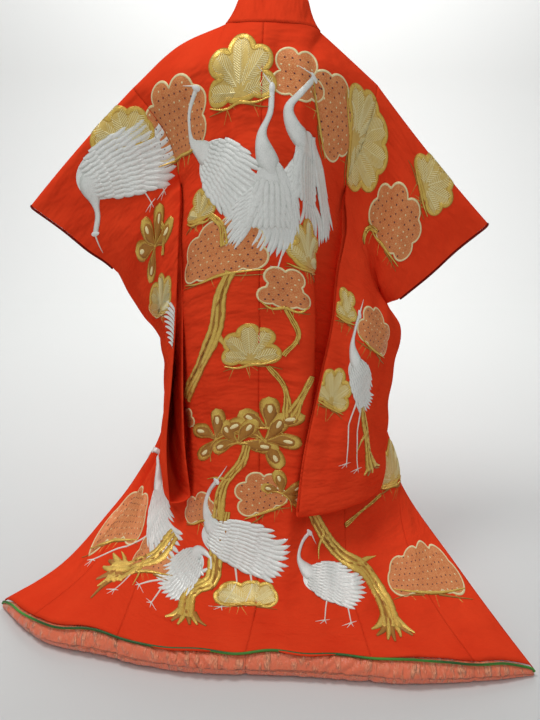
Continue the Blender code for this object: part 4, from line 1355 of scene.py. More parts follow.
def copperPine(ground, place, width, height, count=5, turn=0.0, seed=1, twigged=True):
    # a copper head edged with a pale cord and strewn with small stars
    shape = scalloped(lobesOf(width, height, count, seed))
    outline = moved(shape, place, 1.0, turn)
    patch("copper", ground, outline, np.asarray(place, float), pine["groundHeight"], dome=pine["dome"])
    cordRound("cream", ground, outline, pine["cordWidth"], 0.0)
    rng = np.random.default_rng(seed + 50)
    edge = np.linalg.norm(shape, axis=1)
    gap, half, stray = pine["starGap"], max(width, height) / 2, pine["starStray"]
    for row, b in enumerate(np.arange(-half, half, gap * pine["starRows"])):
        for a in np.arange(-half, half, gap):
            spot = np.array([a + gap / 2 * (row % 2), b]) + rng.uniform(-stray, stray, 2)
            angle = math.atan2(spot[1], spot[0]) % (2 * math.pi)
            room = edge[int(angle / (2 * math.pi) * len(edge))] - pine["starRoom"]
            if np.linalg.norm(spot) < room:
                thread = "dot" if rng.random() < pine["darkStars"] else "cream"
                starlet(ground, moved([spot], place, 1.0, turn)[0], thread)
    if twigged:
        underTwigs(ground, place, width, height, turn, seed)


def cloverPine(ground, place, size, count=4, turn=0.0, seed=1, spread=200.0):
    # a loose head of broad leaves: a gold one under a brown one, with a pale heart near its tip
    rng = np.random.default_rng(seed)
    root = np.array([0.0, pine["rootAt"] * size])
    half = math.radians(spread) / 2
    inward = sorted(range(count), key=lambda k: -abs(k - (count - 1) / 2))
    for step, k in enumerate(inward):
        a = -half + 2 * half * k / (count - 1) + rng.uniform(-clover["stray"], clover["stray"])
        way = np.array([math.sin(a), -math.cos(a)])
        bow = way[::-1] * [1.0, -1.0] * size * rng.uniform(-clover["bow"], clover["bow"])
        reach = size * rng.uniform(*clover["reach"])
        for thread, start, end, width, height in cloverLeaf:
            ends = (start, (start + end) / 2, end)
            leaf = [root + way * reach * at + bow * 4 * at * (1 - at) for at in ends]
            shape = pointed(size * width, *clover["leaf"])
            base = clover["step"] * step
            band(thread, ground, moved(leaf, place, 1.0, turn), shape, height, base, 14, columns=7)
    for hand in (-1, 1):
        (out, down), (farOut, *farDown) = clover["stalk"]
        bend = root + [hand * size * out, size * down]
        tip = root + [hand * size * farOut, size * rng.uniform(*farDown)]
        strand("stalk", ground, moved([root, bend, tip], place, 1.0, turn))


def starlet(ground, place, thread, reach=0.0028):
    # a small raised dot
    a = np.linspace(0.0, 2 * math.pi, 7)
    rim = place + np.stack([np.cos(a), np.sin(a)], -1) * reach
    spots = np.stack([np.broadcast_to(place, rim.shape), rim])
    levels = (pine["groundHeight"] + pine["starHeight"], pine["groundHeight"] - pine["starSink"])
    stitch(thread, ground, spots, np.stack([np.full(7, level) for level in levels]))


def twigs(ground, place, width, turn, seed):
    # the twig under a pine head and the long needles that hang from it
    rng = np.random.default_rng(seed + 90)
    half = twig["half"] * width
    for hand in (-1, 1):
        for sort, (start, level), *bends in twig["strands"]:
            path = [(hand * half * start, level)]
            path += [(hand * half * share, rng.uniform(low, high)) for share, low, high in bends]
            strand(sort, ground, moved(path, place, 1.0, turn))
    for _ in range(twig["needles"]):
        start = np.array([rng.uniform(*twig["from"]) * half, rng.uniform(*twig["level"])])
        end = start + np.array([rng.uniform(*twig["lean"]), rng.uniform(*twig["drop"])]) * twig["reach"]
        strand("hanging", ground, moved([start, end], place, 1.0, turn))


def trunk(ground, path, start, end, seed=1, roots=0, shoots=()):
    # bark of broad gold strands that part over a brown ground; shoots are shares along it with a side
    rng = np.random.default_rng(seed)
    count = max(int(lengths(np.asarray(path, float))[-1] / bark["step"]), bark["fewest"])
    middle = swept(path, count)
    share = np.linspace(0.0, 1.0, count)
    swell = 1.0 + bark["swell"] * np.sin(bark["swellRate"] * share + seed)
    swell = swell + bark["rough"] * rng.standard_normal(count)
    wide = (start + (end - start) * share) * swell
    ahead = unit(np.gradient(middle, axis=0))
    aside = ahead[:, ::-1] * [1.0, -1.0]
    # side shoots, then roots
    for at, hand in shoots:
        k = int(at * (count - 1))
        way = ahead[k] * rng.uniform(*bark["shootLean"]) + aside[k] * hand
        bough = [middle[k] + way * out + ahead[k] * on for out, on in bark["shoot"]]
        width = tapered(wide[k] * bark["shootWidth"], bark["shootTip"])
        band("gold", ground, bough, width, bark["height"], bark["shootBase"], 10)
    for k in range(roots):
        across = -0.5 + (k + 0.5) / roots
        spread = across * bark["rootSpread"] + rng.uniform(-bark["rootStray"], bark["rootStray"])
        way = ahead[-1] * math.cos(spread) + aside[-1] * math.sin(spread)
        first = middle[-1] - ahead[-1] * end * bark["rootBack"]
        first = first + aside[-1] * wide[-1] * across * bark["rootAside"]
        bend = first + way * end * bark["rootBend"][0] + ahead[-1] * end * bark["rootBend"][1]
        tip = bend + way * end * rng.uniform(*bark["rootTip"]) + aside[-1] * rng.uniform(*bark["rootSway"])
        width = tapered(end * 0.50, bark["rootEnd"])
        thread = "darkGold" if k % 2 else "gold"
        band(thread, ground, [first, bend, tip], width, bark["height"], bark["rootBase"], 9)
    # the brown ground, then the strands over it
    band("darkGold", ground, middle, wide, bark["under"], 0.0, count)
    for across in bark["strands"]:
        bends = np.sin(rng.uniform(*bark["wanderRates"]) * share + rng.uniform(*bark["wanderStarts"]))
        wander = across + bark["wander"] * bends
        line = middle + aside * (wander * wide)[:, None]
        steps = bark["widthSteps"]
        own = np.interp(share, np.linspace(0, 1, steps), rng.uniform(*bark["strandWidth"], steps)) * wide
        band("gold", ground, line, own, bark["height"], bark["strandBase"], count)
    # brown scars in the bark
    length = count * bark["step"]
    first = bark["scarsFrom"] / max(length, bark["scarsFrom"])
    for at in np.arange(first, bark["scarsTo"], bark["scarGap"] / length):
        k = int(at * (count - 1))
        spot = middle[k] + aside[k] * wide[k] * rng.uniform(*bark["scarAcross"])
        way = ahead[k] + aside[k] * rng.uniform(*bark["scarLean"])
        scar = [spot, spot + way * rng.uniform(*bark["scarReach"])]
        width = pointed(wide[k] * rng.uniform(*bark["scarWidth"]), bark["scarRoot"])
        band("darkGold", ground, scar, width, bark["scarHeight"], bark["scarBase"], 6, "blade")


crane = {
    "bodyHeight": 0.0018,
    "bodyDome": 0.4,
    "featherHeight": 0.0013,
    "featherStray": 1.5,  # degrees
    "featherReach": (0.95, 1.05),
    "step": 0.00008,  # each feather lies this much over the one before
    "neckHeight": 0.0044,
    "neckPoints": 26,
    "neckStarts": (0.0, 0.14),
    "neckNarrows": 0.76,
    "neckNarrowsAt": (0.08, 0.64),
    "head": (0.022, 0.0135),
    "headAhead": 0.004,
    "headHeight": 0.0036,
    "base": 0.0006,
    "beakAhead": 0.008,
    "eyeAhead": 0.005,
    "eyeUp": 0.001,
    "eyeReach": 0.0015,
    "toes": (-65.0, -20.0, 30.0),
    "toeReach": (0.022, 0.016),
    "toeLean": 0.008,
    "hindToe": (0.016, -0.002),
    "tailBase": 0.0004,
    "plumeBase": 0.0010,
}
# body: centre, length, width, turn and bluntness of its oval; neck: where it starts and its width
folded = {"body": ((0.006, 0.0), 0.205, 0.122, 4.0, 0.62), "base": 0.0002, "neck": ((0.062, 0.0), 0.056)}
opened = {"body": ((0.0, 0.0), 0.150, 0.080, -90.0, 0.7), "base": 0.0016, "neck": ((0.0, -0.045), 0.050)}
wingRows = {"base": 0.0012, "step": 0.0004, "bend": 0.06, "tailBend": 0.14}
openRows = {"base": 0.0010, "step": 0.0005, "tailBend": 0.12, "ends": (0.84, 0.80)}
wingBone = {"width": 0.020, "height": 0.0046, "base": 0.0008}
# rows of short feathers down an opened crane's breast
breast = {
    "downs": (0.046, 0.028, 0.010, -0.008, -0.026),
    "half": 0.030,
    "narrows": 0.10,
    "widestAt": 0.005,
    "aims": (-16.0, 16.0),
    "reach": (0.034, 0.036, 0.034),
    "count": 7,
    "width": 0.0132,
    "base": 0.0026,
    "step": 0.0003,
    "blunt": 5.0,
}
# rows of feathers, the lowest first: roots from one place to another, aims in degrees from straight down,
# reach at the start, middle and end, how many, and their width
foldedWing = (
    ((-0.050, -0.026), (-0.046, 0.034), -112.0, -58.0, (0.078, 0.100, 0.080), 9, 0.0200),
    ((-0.006, -0.050), (-0.016, 0.050), -97.0, -66.0, (0.070, 0.090, 0.070), 12, 0.0136),
    ((0.016, -0.053), (0.008, 0.053), -98.0, -69.0, (0.054, 0.064, 0.054), 13, 0.0128),
    ((0.036, -0.052), (0.028, 0.053), -98.0, -72.0, (0.044, 0.050, 0.042), 13, 0.0124),
    ((0.054, -0.048), (0.048, 0.050), -99.0, -74.0, (0.036, 0.040, 0.034), 12, 0.0118),
    ((0.070, -0.040), (0.066, 0.042), -99.0, -76.0, (0.030, 0.032, 0.028), 11, 0.0112),
    ((0.086, -0.030), (0.082, 0.032), -100.0, -80.0, (0.026, 0.028, 0.024), 8, 0.0108),
)


# rows of feathers of an opened wing: share of its reach, and width
openWing = ((1.0, 0.0150), (0.76, 0.0142), (0.56, 0.0134), (0.40, 0.0128), (0.26, 0.0120))


def feather(ground, root, tip, width, bend, base, blunt):
    root, tip = np.asarray(root, float), np.asarray(tip, float)
    way = tip - root
    middle = (root + tip) / 2 + np.array([way[1], -way[0]]) * bend
    shape = pointed(width, 0.5, 0.35, blunt)
    band("silver", ground, [root, middle, tip], shape, crane["featherHeight"], base, 9, "blade")


def tier(ground, at, size, facing, row, base, bend=0.05, seed=1, blunt=2.0):
    # a row of feathers side by side
    first, last, aim, aimEnd, reaches, count, width = row
    rng = np.random.default_rng(seed)
    for k in range(count):
        share = k / max(count - 1, 1)
        root = np.asarray(first, float) * (1 - share) + np.asarray(last, float) * share
        stray = rng.uniform(-crane["featherStray"], crane["featherStray"])
        angle = math.radians(aim + (aimEnd - aim) * share + stray)
        reach = np.interp(share, (0.0, 0.5, 1.0), reaches) * rng.uniform(*crane["featherReach"])
        tip = root + np.array([math.sin(angle), math.cos(angle)]) * reach
        feather(ground, *at([root, tip]), width * size, bend * facing, base + k * crane["step"], blunt)


def oval(centre, length, width, turn, blunt=0.75):
    # an egg-shaped outline, its blunt end ahead
    a = np.linspace(0.0, 2 * math.pi, 64, endpoint=False)
    along, across = np.cos(a), np.sin(a)
    across = across * (1.0 + (blunt - 1.0) * 0.5 * (1.0 - along))
    return moved(np.stack([along * length / 2, across * width / 2], -1), centre, 1.0, turn)


def craneNeck(ground, path, thick, beak):
    # neck from the breast to the head, then the head and the beak

    def narrowing(share):
        start = 0.5 + 0.5 * smoothStep(*crane["neckStarts"], share)
        return thick * start * (1.0 - crane["neckNarrows"] * smoothStep(*crane["neckNarrowsAt"], share))

    count, base = crane["neckPoints"], crane["base"]
    path = swept(path, count)
    band("silver", ground, path, narrowing, crane["neckHeight"], base, count, columns=7)
    way = unit(path[-1] - path[-2])
    middle = path[-1] + way * crane["headAhead"]
    head = oval(middle, *crane["head"], -math.degrees(math.atan2(way[1], way[0])))
    patch("silver", ground, head, middle, crane["headHeight"], base)
    beak = np.asarray(beak, float)
    start = path[-1] + way * crane["beakAhead"]
    strand("beak", ground, [start, start + beak * 0.5, start + beak])
    eye = path[-1] + way * crane["eyeAhead"] + np.array([0.0, -crane["eyeUp"]])
    starlet(ground, eye, "dark", crane["eyeReach"])


def craneLeg(ground, hip, knee, foot, facing):
    strand("thigh", ground, [hip, knee])
    strand("shin", ground, [knee, foot])
    foot = np.asarray(foot, float)
    out, down = crane["toeReach"]
    for angle in crane["toes"]:
        a = math.radians(angle)
        toe = np.array([math.sin(a) * out + facing * crane["toeLean"], math.cos(a) * down])
        strand("toe", ground, [foot, foot + toe * 0.6, foot + toe])
    out, down = crane["hindToe"]
    strand("hindToe", ground, [foot, foot + np.array([-facing * out, down])])


def craneBody(ground, at, size, plan, neck, beak):
    middle = at([[0.0, 0.0]])[0]
    outline = at(oval(*plan["body"]))
    patch("silver", ground, outline, middle, crane["bodyHeight"], plan["base"], crane["bodyDome"])
    start, width = plan["neck"]
    craneNeck(ground, [at([start])[0], *neck], width * size, beak)


def standingCrane(ground, place, size, facing, neck, beak, legs, turn=0.0, seed=1):
    # a crane with folded wings; facing is 1 when its breast is on the right
    # place, neck and legs are cloth coordinates
    def at(points):
        return moved(points, place, size, turn, mirrored=facing < 0)

    for leg in legs:
        craneLeg(ground, *leg, facing)
    tier(ground, at, size, facing, foldedWing[0], crane["tailBase"], wingRows["tailBend"], seed)
    craneBody(ground, at, size, folded, neck, beak)
    for k, row in enumerate(foldedWing[1:]):
        base = wingRows["base"] + wingRows["step"] * k
        tier(ground, at, size, facing, row, base, wingRows["bend"], seed + k, 2.0 + k)


def flyingCrane(ground, place, size, facing, neck, beak, wings, tail, legs=(), turn=0.0, seed=1):
    # a crane with opened wings, in its own coordinates: each has the two ends of its bone, the first and
    # last aim, a reach and a count of feathers
    def at(points):
        return moved(points, place, size, turn, mirrored=facing < 0)

    for leg in legs:
        craneLeg(ground, *leg, facing)
    tier(ground, at, size, facing, tail, crane["tailBase"], openRows["tailBend"], seed)
    for w, (first, last, aim, aimEnd, reach, count) in enumerate(wings):
        for row, (grown, width) in enumerate(openWing):
            start, end = openRows["ends"]
            reaches = (reach * grown * start, reach * grown, reach * grown * end)
            plan = (first, last, aim, aimEnd, reaches, count + 2, width)
            base = openRows["base"] + openRows["step"] * row
            tier(ground, at, size, facing, plan, base, wingRows["bend"], seed + 10 * w + row, 2.0 + row)
        bone = at([first, (np.asarray(first) + np.asarray(last)) / 2, last])
        width = wingBone["width"] * size
        band("silver", ground, bone, width, wingBone["height"], wingBone["base"], 14, columns=7)
    craneBody(ground, at, size, opened, neck, beak)
    for k, down in enumerate(breast["downs"]):
        half = breast["half"] - breast["narrows"] * abs(down - breast["widestAt"])
        ends = ((-half, down), (half, down))
        plan = (*ends, *breast["aims"], breast["reach"], breast["count"], breast["width"])
        base = breast["base"] + breast["step"] * k
        tier(ground, at, size, facing, plan, base, 0.0, seed + 40 + k, breast["blunt"])


# Layout in cloth coordinates. A pine head has its place, width, height, lobes, turn in degrees and seed; a
# clover its place, size, leaves, turn and seed; a trunk its path, width at both ends, seed, roots and shoots.


def embroiderBack(ground, acrossLeft, acrossRight):
    # pine heads along the shoulders
    copperPine(acrossLeft, (-0.238, 0.118), 0.215, 0.165, 6, 16.0, 5)
    copperPine(ground, (0.078, 0.098), 0.122, 0.112, 4, -6.0, 6, twigged=False)
    copperPine(ground, (0.186, 0.136), 0.172, 0.122, 5, 62.0, 7)
    goldPine(acrossRight, (0.300, 0.118), 0.204, 0.156, 6, 60.0, 8)
    goldPine(ground, (-0.046, 0.100), 0.160, 0.146, 5, 4.0, 3)
    # the middle of the back
    trunk(
        ground, [(-0.060, 0.545), (-0.084, 0.600), (-0.098, 0.690), (-0.136, 0.770), (-0.206, 0.850)],
        0.030, 0.046, 11, shoots=((0.45, 1),),
    )
    trunk(ground, [(-0.120, 0.395), (-0.088, 0.430), (-0.078, 0.480)], 0.014, 0.020, 12)
    goldPine(ground, (-0.152, 0.356), 0.088, 0.100, 4, 0.0, 13)
    goldPine(ground, (0.112, 0.474), 0.116, 0.142, 5, 8.0, 15)
    copperPine(ground, (-0.092, 0.486), 0.218, 0.150, 6, 0.0, 14)
    trunk(ground, [(0.050, 0.640), (0.072, 0.700), (0.046, 0.760)], 0.012, 0.008, 17)
    copperPine(ground, (0.048, 0.588), 0.106, 0.112, 4, 0.0, 16)
    goldPine(ground, (-0.020, 0.738), 0.124, 0.112, 5, -4.0, 18)
    trunk(ground, [(0.016, 0.790), (0.046, 0.836), (0.058, 0.930)], 0.008, 0.018, 19)
    trunk(ground, [(0.104, 0.806), (0.080, 0.862), (0.062, 0.930)], 0.012, 0.022, 20)
    # a spray of pine in the lower back
    trunk(
        ground, [(-0.026, 1.000), (-0.040, 1.050), (-0.084, 1.110), (-0.098, 1.200)],
        0.018, 0.030, 25, shoots=((0.5, -1),),
    )
    cloverPine(ground, (-0.122, 0.950), 0.120, 4, -34.0, 21)
    cloverPine(ground, (0.040, 0.968), 0.118, 4, 52.0, 24)
    cloverPine(ground, (0.020, 0.920), 0.116, 3, 6.0, 23, 120.0)
    cloverPine(ground, (-0.046, 0.958), 0.118, 4, -2.0, 22)
    copperPine(ground, (0.006, 1.132), 0.132, 0.112, 5, -22.0, 26)
    cloverPine(ground, (0.072, 1.100), 0.098, 4, 20.0, 27)
    copperPine(ground, (-0.168, 1.184), 0.134, 0.086, 4, -26.0, 28)
    copperPine(ground, (-0.216, 0.912), 0.074, 0.064, 4, 0.0, 38, twigged=False)
    # trunks and roots on the train
    copperPine(ground, (-0.540, 1.392), 0.290, 0.136, 5, -22.0, 34)
    copperPine(ground, (-0.300, 1.396), 0.170, 0.110, 4, -24.0, 35)
    trunk(
        ground, [(-0.240, 1.300), (-0.292, 1.410), (-0.356, 1.462), (-0.440, 1.500)],
        0.030, 0.052, 32, 6, ((0.5, 1), (0.8, -1)),
    )
    trunk(
        ground, [(-0.076, 1.180), (-0.098, 1.300), (-0.106, 1.380), (-0.150, 1.430), (-0.152, 1.516)],
        0.022, 0.044, 31, 6, ((0.6, -1),),
    )
    trunk(
        ground,
        [(0.142, 1.110), (0.190, 1.200), (0.290, 1.320), (0.372, 1.386), (0.396, 1.460), (0.386, 1.532)],
        0.020, 0.056, 33, 7, ((0.3, -1), (0.62, 1)),
    )
    goldPine(ground, (-0.014, 1.402), 0.168, 0.084, 5, 0.0, 36)
    copperPine(ground, (0.560, 1.424), 0.256, 0.122, 6, 12.0, 37)
    trunk(ground, [(0.300, 1.236), (0.388, 1.208), (0.450, 1.188)], 0.014, 0.008, 38)
    goldPine(ground, (0.500, 1.140), 0.130, 0.100, 5, 10.0, 39)
    # three cranes on the upper back
    standingCrane(
        ground, (-0.088, 0.296), 0.98, -1,
        neck=[(-0.172, 0.218), (-0.206, 0.180), (-0.198, 0.130), (-0.158, 0.096)],
        beak=(-0.034, -0.018),
        legs=[
            ((-0.112, 0.330), (-0.120, 0.372), (-0.112, 0.410)),
            ((-0.070, 0.350), (-0.062, 0.392), (-0.068, 0.424)),
        ],
        turn=44.0, seed=41,
    )
    flyingCrane(
        ground, (0.114, 0.282), 1.08, 1,
        neck=[(0.076, 0.214), (0.058, 0.176), (0.080, 0.134), (0.112, 0.094)],
        beak=(-0.044, -0.010),
        wings=[
            ((0.016, -0.070), (0.050, 0.020), 34.0, 8.0, 0.150, 12),
            ((-0.018, -0.030), (-0.034, 0.030), -34.0, -8.0, 0.098, 8),
        ],
        tail=((-0.016, 0.050), (0.026, 0.056), -8.0, 22.0, (0.090, 0.112, 0.100), 7, 0.0140),
        seed=43,
    )
    flyingCrane(
        ground, (0.022, 0.366), 1.02, 1,
        neck=[(0.012, 0.290), (0.000, 0.240), (0.018, 0.186), (0.020, 0.140)],
        beak=(-0.034, -0.044),
        wings=[
            ((-0.016, -0.030), (-0.032, 0.030), -50.0, -24.0, 0.130, 8),
            ((0.014, -0.060), (0.034, 0.014), 30.0, 6.0, 0.112, 8),
        ],
        tail=((-0.022, 0.044), (0.022, 0.048), -14.0, 12.0, (0.088, 0.100, 0.086), 9, 0.0140),
        legs=[((0.040, 0.450), (0.046, 0.492), (0.034, 0.540))],
        seed=42,
    )
    # cranes standing on the train
    standingCrane(
        ground, (-0.352, 1.278), 1.06, -1,
        neck=[(-0.480, 1.240), (-0.560, 1.232), (-0.640, 1.250), (-0.680, 1.270)],
        beak=(-0.020, 0.026),
        legs=[
            ((-0.330, 1.345), (-0.430, 1.430), (-0.560, 1.500)),
            ((-0.262, 1.346), (-0.310, 1.430), (-0.380, 1.532)),
        ],
        turn=26.0, seed=46,
    )
    standingCrane(
        ground, (-0.182, 1.372), 0.74, 1,
        neck=[(-0.136, 1.300), (-0.112, 1.308), (-0.108, 1.338), (-0.128, 1.358)],
        beak=(-0.024, 0.010),
        legs=[
            ((-0.212, 1.416), (-0.232, 1.456), (-0.246, 1.512)),
            ((-0.226, 1.420), (-0.262, 1.456), (-0.292, 1.488)),
        ],
        turn=-60.0, seed=47,
    )
    standingCrane(
        ground, (-0.036, 1.262), 0.98, -1,
        neck=[(-0.120, 1.212), (-0.138, 1.170), (-0.130, 1.130), (-0.106, 1.100)],
        beak=(0.026, -0.038),
        legs=[
            ((-0.056, 1.308), (-0.048, 1.366), (-0.076, 1.450)),
            ((-0.022, 1.312), (-0.012, 1.376), (-0.024, 1.432)),
        ],
        turn=16.0, seed=44,
    )
    standingCrane(
        ground, (0.238, 1.372), 0.84, -1,
        neck=[(0.160, 1.326), (0.136, 1.292), (0.150, 1.254), (0.172, 1.236)],
        beak=(0.020, 0.034),
        legs=[
            ((0.226, 1.414), (0.214, 1.452), (0.204, 1.492)),
            ((0.262, 1.420), (0.280, 1.466), (0.276, 1.510)),
        ],
        turn=24.0, seed=45,
    )


def embroiderLeftSleeve(ground):
    goldPine(ground, (-0.076, 0.040), 0.150, 0.092, 5, 30.0, 51, twigged=False)
    trunk(ground, [(-0.100, 0.250), (-0.070, 0.300), (-0.082, 0.345)], 0.010, 0.014, 56)
    cloverPine(ground, (-0.136, 0.270), 0.130, 5, -26.0, 53)
    goldPine(ground, (-0.124, 0.440), 0.196, 0.120, 5, 16.0, 54)
    # feathers that reach in from the edge of the sleeve
    plumes = ((0.004, 0.530), (0.004, 0.622), -124.0, -108.0, (0.135, 0.108, 0.062), 9, 0.0100)
    tier(ground, np.asarray, 1.0, -1, plumes, crane["plumeBase"], seed=57)
    standingCrane(
        ground, (-0.122, 0.090), 1.10, -1,
        neck=[(-0.208, 0.068), (-0.232, 0.100), (-0.252, 0.130), (-0.284, 0.152)],
        beak=(-0.026, 0.044),
        legs=[
            ((-0.100, 0.146), (-0.112, 0.180), (-0.104, 0.214)),
            ((-0.062, 0.146), (-0.064, 0.180), (-0.056, 0.212)),
        ],
        turn=20.0, seed=55,
    )


def embroiderRightSleeve(ground):
    goldPine(ground, (0.198, 0.036), 0.124, 0.096, 5, 26.0, 62)
    trunk(ground, [(0.148, 0.220), (0.112, 0.236), (0.100, 0.286)], 0.010, 0.014, 64)
    copperPine(ground, (0.172, 0.166), 0.172, 0.136, 6, -6.0, 63)
    goldPine(ground, (0.040, 0.488), 0.078, 0.090, 4, 0.0, 65)
    copperPine(ground, (0.166, 0.508), 0.160, 0.130, 5, 6.0, 66)
    trunk(
        ground, [(0.168, 0.720), (0.202, 0.790), (0.224, 0.850), (0.254, 0.940)],
        0.016, 0.034, 68, 5, ((0.4, -1),),
    )
    goldPine(ground, (0.054, 0.696), 0.128, 0.112, 5, 10.0, 67)
    standingCrane(
        ground, (0.142, 0.652), 0.66, -1,
        neck=[(0.098, 0.610), (0.076, 0.576), (0.078, 0.530), (0.086, 0.494)],
        beak=(0.010, -0.040),
        legs=[
            ((0.138, 0.690), (0.128, 0.780), (0.146, 0.902)),
            ((0.160, 0.694), (0.166, 0.800), (0.196, 0.928)),
        ],
        turn=42.0, seed=69,
    )


threadLook = {
    "specular": 0.4,
    "stripes": (900.0, 200.0, 1.0),
    "contrast": 1.6,
    "broad": (50.0, 50.0, 1.0),
    "shares": (0.45, 0.35, 0.8),  # stripes, broad patches, painted shade at the rims of the stitches
    "rimShadePower": 3.0,
    "grain": (1600.0, 1600.0, 1.0),
    "grainShare": 0.4,
    "depth": 0.0005,
    "strength": 0.6,
}
copperLook = {
    "shader": {"Metallic": 0.2, "Roughness": 0.45},
    "cells": (240.0, 240.0, 1.0),
    "net": 0.34,
    "contrast": 4.0,
    "broad": (60.0, 60.0, 1.0),
    "dark": colour(200, 108, 54),
    "light": colour(232, 148, 88),
    "glint": colour(238, 196, 128),
    "glintShare": 0.45,
    "depth": 0.0006,
    "strength": 0.7,
}


def threadFinish(name, tint, shade, metal, rough):
    # a shine of many thin threads, with painted shade darkening the rims of each row of stitches
    plan = threadLook
    thread = Finish(name, Metallic=metal, Roughness=rough, Specular_IOR_Level=plan["specular"])
    tone = ((thread.noise(plan["stripes"], 2.0) - 0.5) * plan["contrast"] + 0.5).clamped()
    broad = thread.noise(plan["broad"], 2.0)
    toneShare, broadShare, rimShadeShare = plan["shares"]
    # painted shade: each row of stitches darkens towards its rims, where the rows meet
    rim = thread.edge() ** plan["rimShadePower"] * rimShadeShare
    share = (tone * toneShare + broad * broadShare + rim).clamped()
    thread.set(thread.shader, {"Base Color": thread.mix(share, tint, shade)})
    grain = thread.noise(plan["grain"], 1.0)
    thread.bump(grain * plan["grainShare"] + tone, plan["depth"], plan["strength"])
    return thread


def copperFinish(name):
    # orange ground couched with a sparkling gold net
    plan = copperLook
    copper = Finish(name, **plan["shader"])
    sockets = {"Vector": copper.place(plan["cells"]), "Scale": 1.0}
    cells = copper.node("ShaderNodeTexVoronoi", {"voronoi_dimensions": "2D"}, sockets)
    glint = ((plan["net"] - cells) * plan["contrast"]).clamped()
    ground = copper.mix(copper.noise(plan["broad"], 2.0), plan["dark"], plan["light"])
    shown = copper.mix(glint * plan["glintShare"], ground, plan["glint"])
    copper.set(copper.shader, {"Base Color": shown})
    copper.bump(glint, plan["depth"], plan["strength"])
    return copper


grounds = {}
hold = {"armhole": 0.003, "body": 0.002, "edge": 0.003}  # how far stitches stay from these edges
for side, which in ((-1, "Left"), (1, "Right")):
    layer, out, rows = surfaces["sleeve" + which]
    if side < 0:
        layer, out = layer[:, ::-1], -out[::-1]
    ends = sorted((side * hold["armhole"], side * (sleeves["width"] - hold["edge"])))
    grounds["sleeve" + which] = groundOf(layer, out, rows, *ends)
    armhole = side * robe["backWidth"]
    ends = sorted((armhole + side * hold["body"], armhole + side * (sleeves["width"] - hold["edge"])))
    grounds["across" + which] = groundOf(layer, out + armhole, rows, *ends)
leftGrid, bodyOut, bodyDowns = surfaces["left"]
bothSides = np.concatenate([leftGrid[:, :0:-1], surfaces["right"][0]], axis=1)
seam = robe["backWidth"] - hold["body"]
back = groundOf(bothSides, fromLeft((-bodyOut, bodyOut)), bodyDowns, -seam, seam, robe["armhole"])
embroiderBack([back], [back, grounds["acrossLeft"]], [back, grounds["acrossRight"]])
embroiderLeftSleeve([grounds["sleeveLeft"]])
embroiderRightSleeve([grounds["sleeveRight"]])
threadLooks = {
    "silver": ("craneSilver", "silver_thread", (255, 255, 250), (196, 200, 192), 0.16, 0.30),
    "palest": ("craneLegs", "silver_thread", (252, 246, 234), (206, 198, 184), 0.0, 0.42),
    "gold": ("goldBands", "gold_thread", (255, 224, 112), (168, 108, 30), 0.40, 0.26),
    "paleGold": ("pineGround", "gold_thread", (238, 210, 122), (176, 136, 62), 0.20, 0.38),
    "darkGold": ("barkGround", "gold_thread", (198, 140, 54), (132, 80, 28), 0.20, 0.42),
    "needles": ("pineNeedles", "gold_thread", (255, 248, 200), (230, 204, 128), 0.15, 0.28),
    "cream": ("paleCord", "gold_thread", (250, 238, 192), (206, 184, 120), 0.10, 0.42),
    "dot": ("copperStars", "copper_thread", (112, 58, 62), (66, 34, 34), 0.20, 0.50),
    "dark": ("craneEyes", "silver_thread", (30, 28, 28), (14, 12, 12), 0.0, 0.40),
}
for thread, (name, slot, tint, shade, metal, rough) in threadLooks.items():
    finish = threadFinish(thread + "Thread", colour(*tint), colour(*shade), metal, rough)
    made = makeThreads(name, thread, finish)
    print("embroidery:", name, len(made.data.polygons), "faces")
made = makeThreads("copperGround", "copper", copperFinish("copperThread"))
print("embroidery:", made.name, len(made.data.polygons), "faces")


studio = {
    "floorColour": colour(216, 217, 215),
    "paperRough": 0.85,
    "front": -7.0,
    "halfWidth": 7.0,
    "wallBehind": 1.9,
    "bend": 0.9,
    "bendSteps": 24,
    "wallTop": 6.0,
    "skyColour": (0.95, 0.97, 1.0, 1.0),
    "skyPower": 0.40,
}
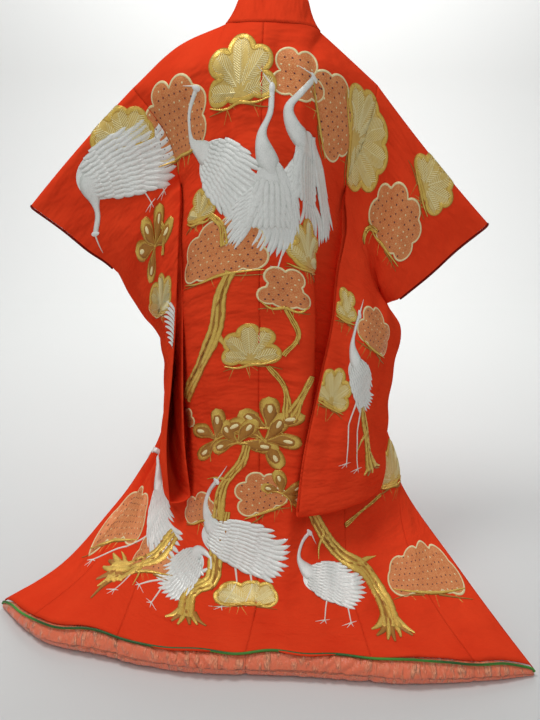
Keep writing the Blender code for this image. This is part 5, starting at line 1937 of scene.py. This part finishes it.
# name, place, what it is aimed at, size and power
lights = (
    ("topLight", (-1.2, -0.7, 2.7), (0.0, -0.3, -0.9), 1.2, 54.0),
    ("frontLight", (0.5, -3.0, 2.2), (0.0, -0.6, -1.0), 1.6, 21.0),
    ("wallLight", (0.15, 1.3, 1.3), (0.15, 2.8, 0.1), 1.6, 66.0),
)
view = {"place": (0.018, -2.33, 0.27), "tilt": 65.0, "lens": 50.0, "sensor": 36.0}


def placed(name, data):
    made = bpy.data.objects.new(name, data)
    bpy.context.scene.collection.objects.link(made)
    return made


def makeStudio():
    # a floor that curves up into a backdrop
    low, back, bend, half = -robe["holdHeight"], studio["wallBehind"], studio["bend"], studio["halfWidth"]
    profile = [(studio["front"], 0.0)]
    for a in np.linspace(0, math.pi / 2, studio["bendSteps"]):
        profile.append((back + bend * math.sin(a), bend * (1 - math.cos(a))))
    profile.append((back + bend, studio["wallTop"]))
    points = [(x, y, z + low) for y, z in profile for x in (-half, half)]
    mesh = bpy.data.meshes.new("backdrop")
    faces = [(2 * k, 2 * k + 1, 2 * k + 3, 2 * k + 2) for k in range(len(profile) - 1)]
    mesh.from_pydata(points, [], faces)
    mesh.shade_smooth()
    backdrop = placed("backdrop", mesh)
    paper = Finish("studioPaper", Roughness=studio["paperRough"])
    paper.set(paper.shader, {"Base Color": studio["floorColour"]})
    mesh.materials.append(paper.material)


def makeLight(name, place, aim, size, power):
    lamp = bpy.data.lights.new(name, "AREA")
    lamp.shape, lamp.size, lamp.energy = "DISK", size, power
    holder = placed(name, lamp)
    holder.location = place
    away = np.array(place) - np.array(aim)
    flat = math.hypot(away[0], away[1])
    holder.rotation_euler = (math.atan2(flat, away[2]), 0.0, math.atan2(away[1], away[0]) + math.pi / 2)


makeStudio()
for light in lights:
    makeLight(*light)
world = bpy.data.worlds.new("studioAir")
world.use_nodes = True
sky = world.node_tree.nodes["Background"].inputs
sky["Color"].default_value, sky["Strength"].default_value = studio["skyColour"], studio["skyPower"]
bpy.context.scene.world = world
bpy.context.scene.view_settings.view_transform = "Standard"

lens = bpy.data.cameras.new("camera")
lens.lens, lens.sensor_width = view["lens"], view["sensor"]
camera = placed("camera", lens)
camera.location = view["place"]
camera.rotation_euler = (math.radians(view["tilt"]), 0.0, 0.0)
bpy.context.scene.camera = camera
print("studio: floor, lights and camera set")
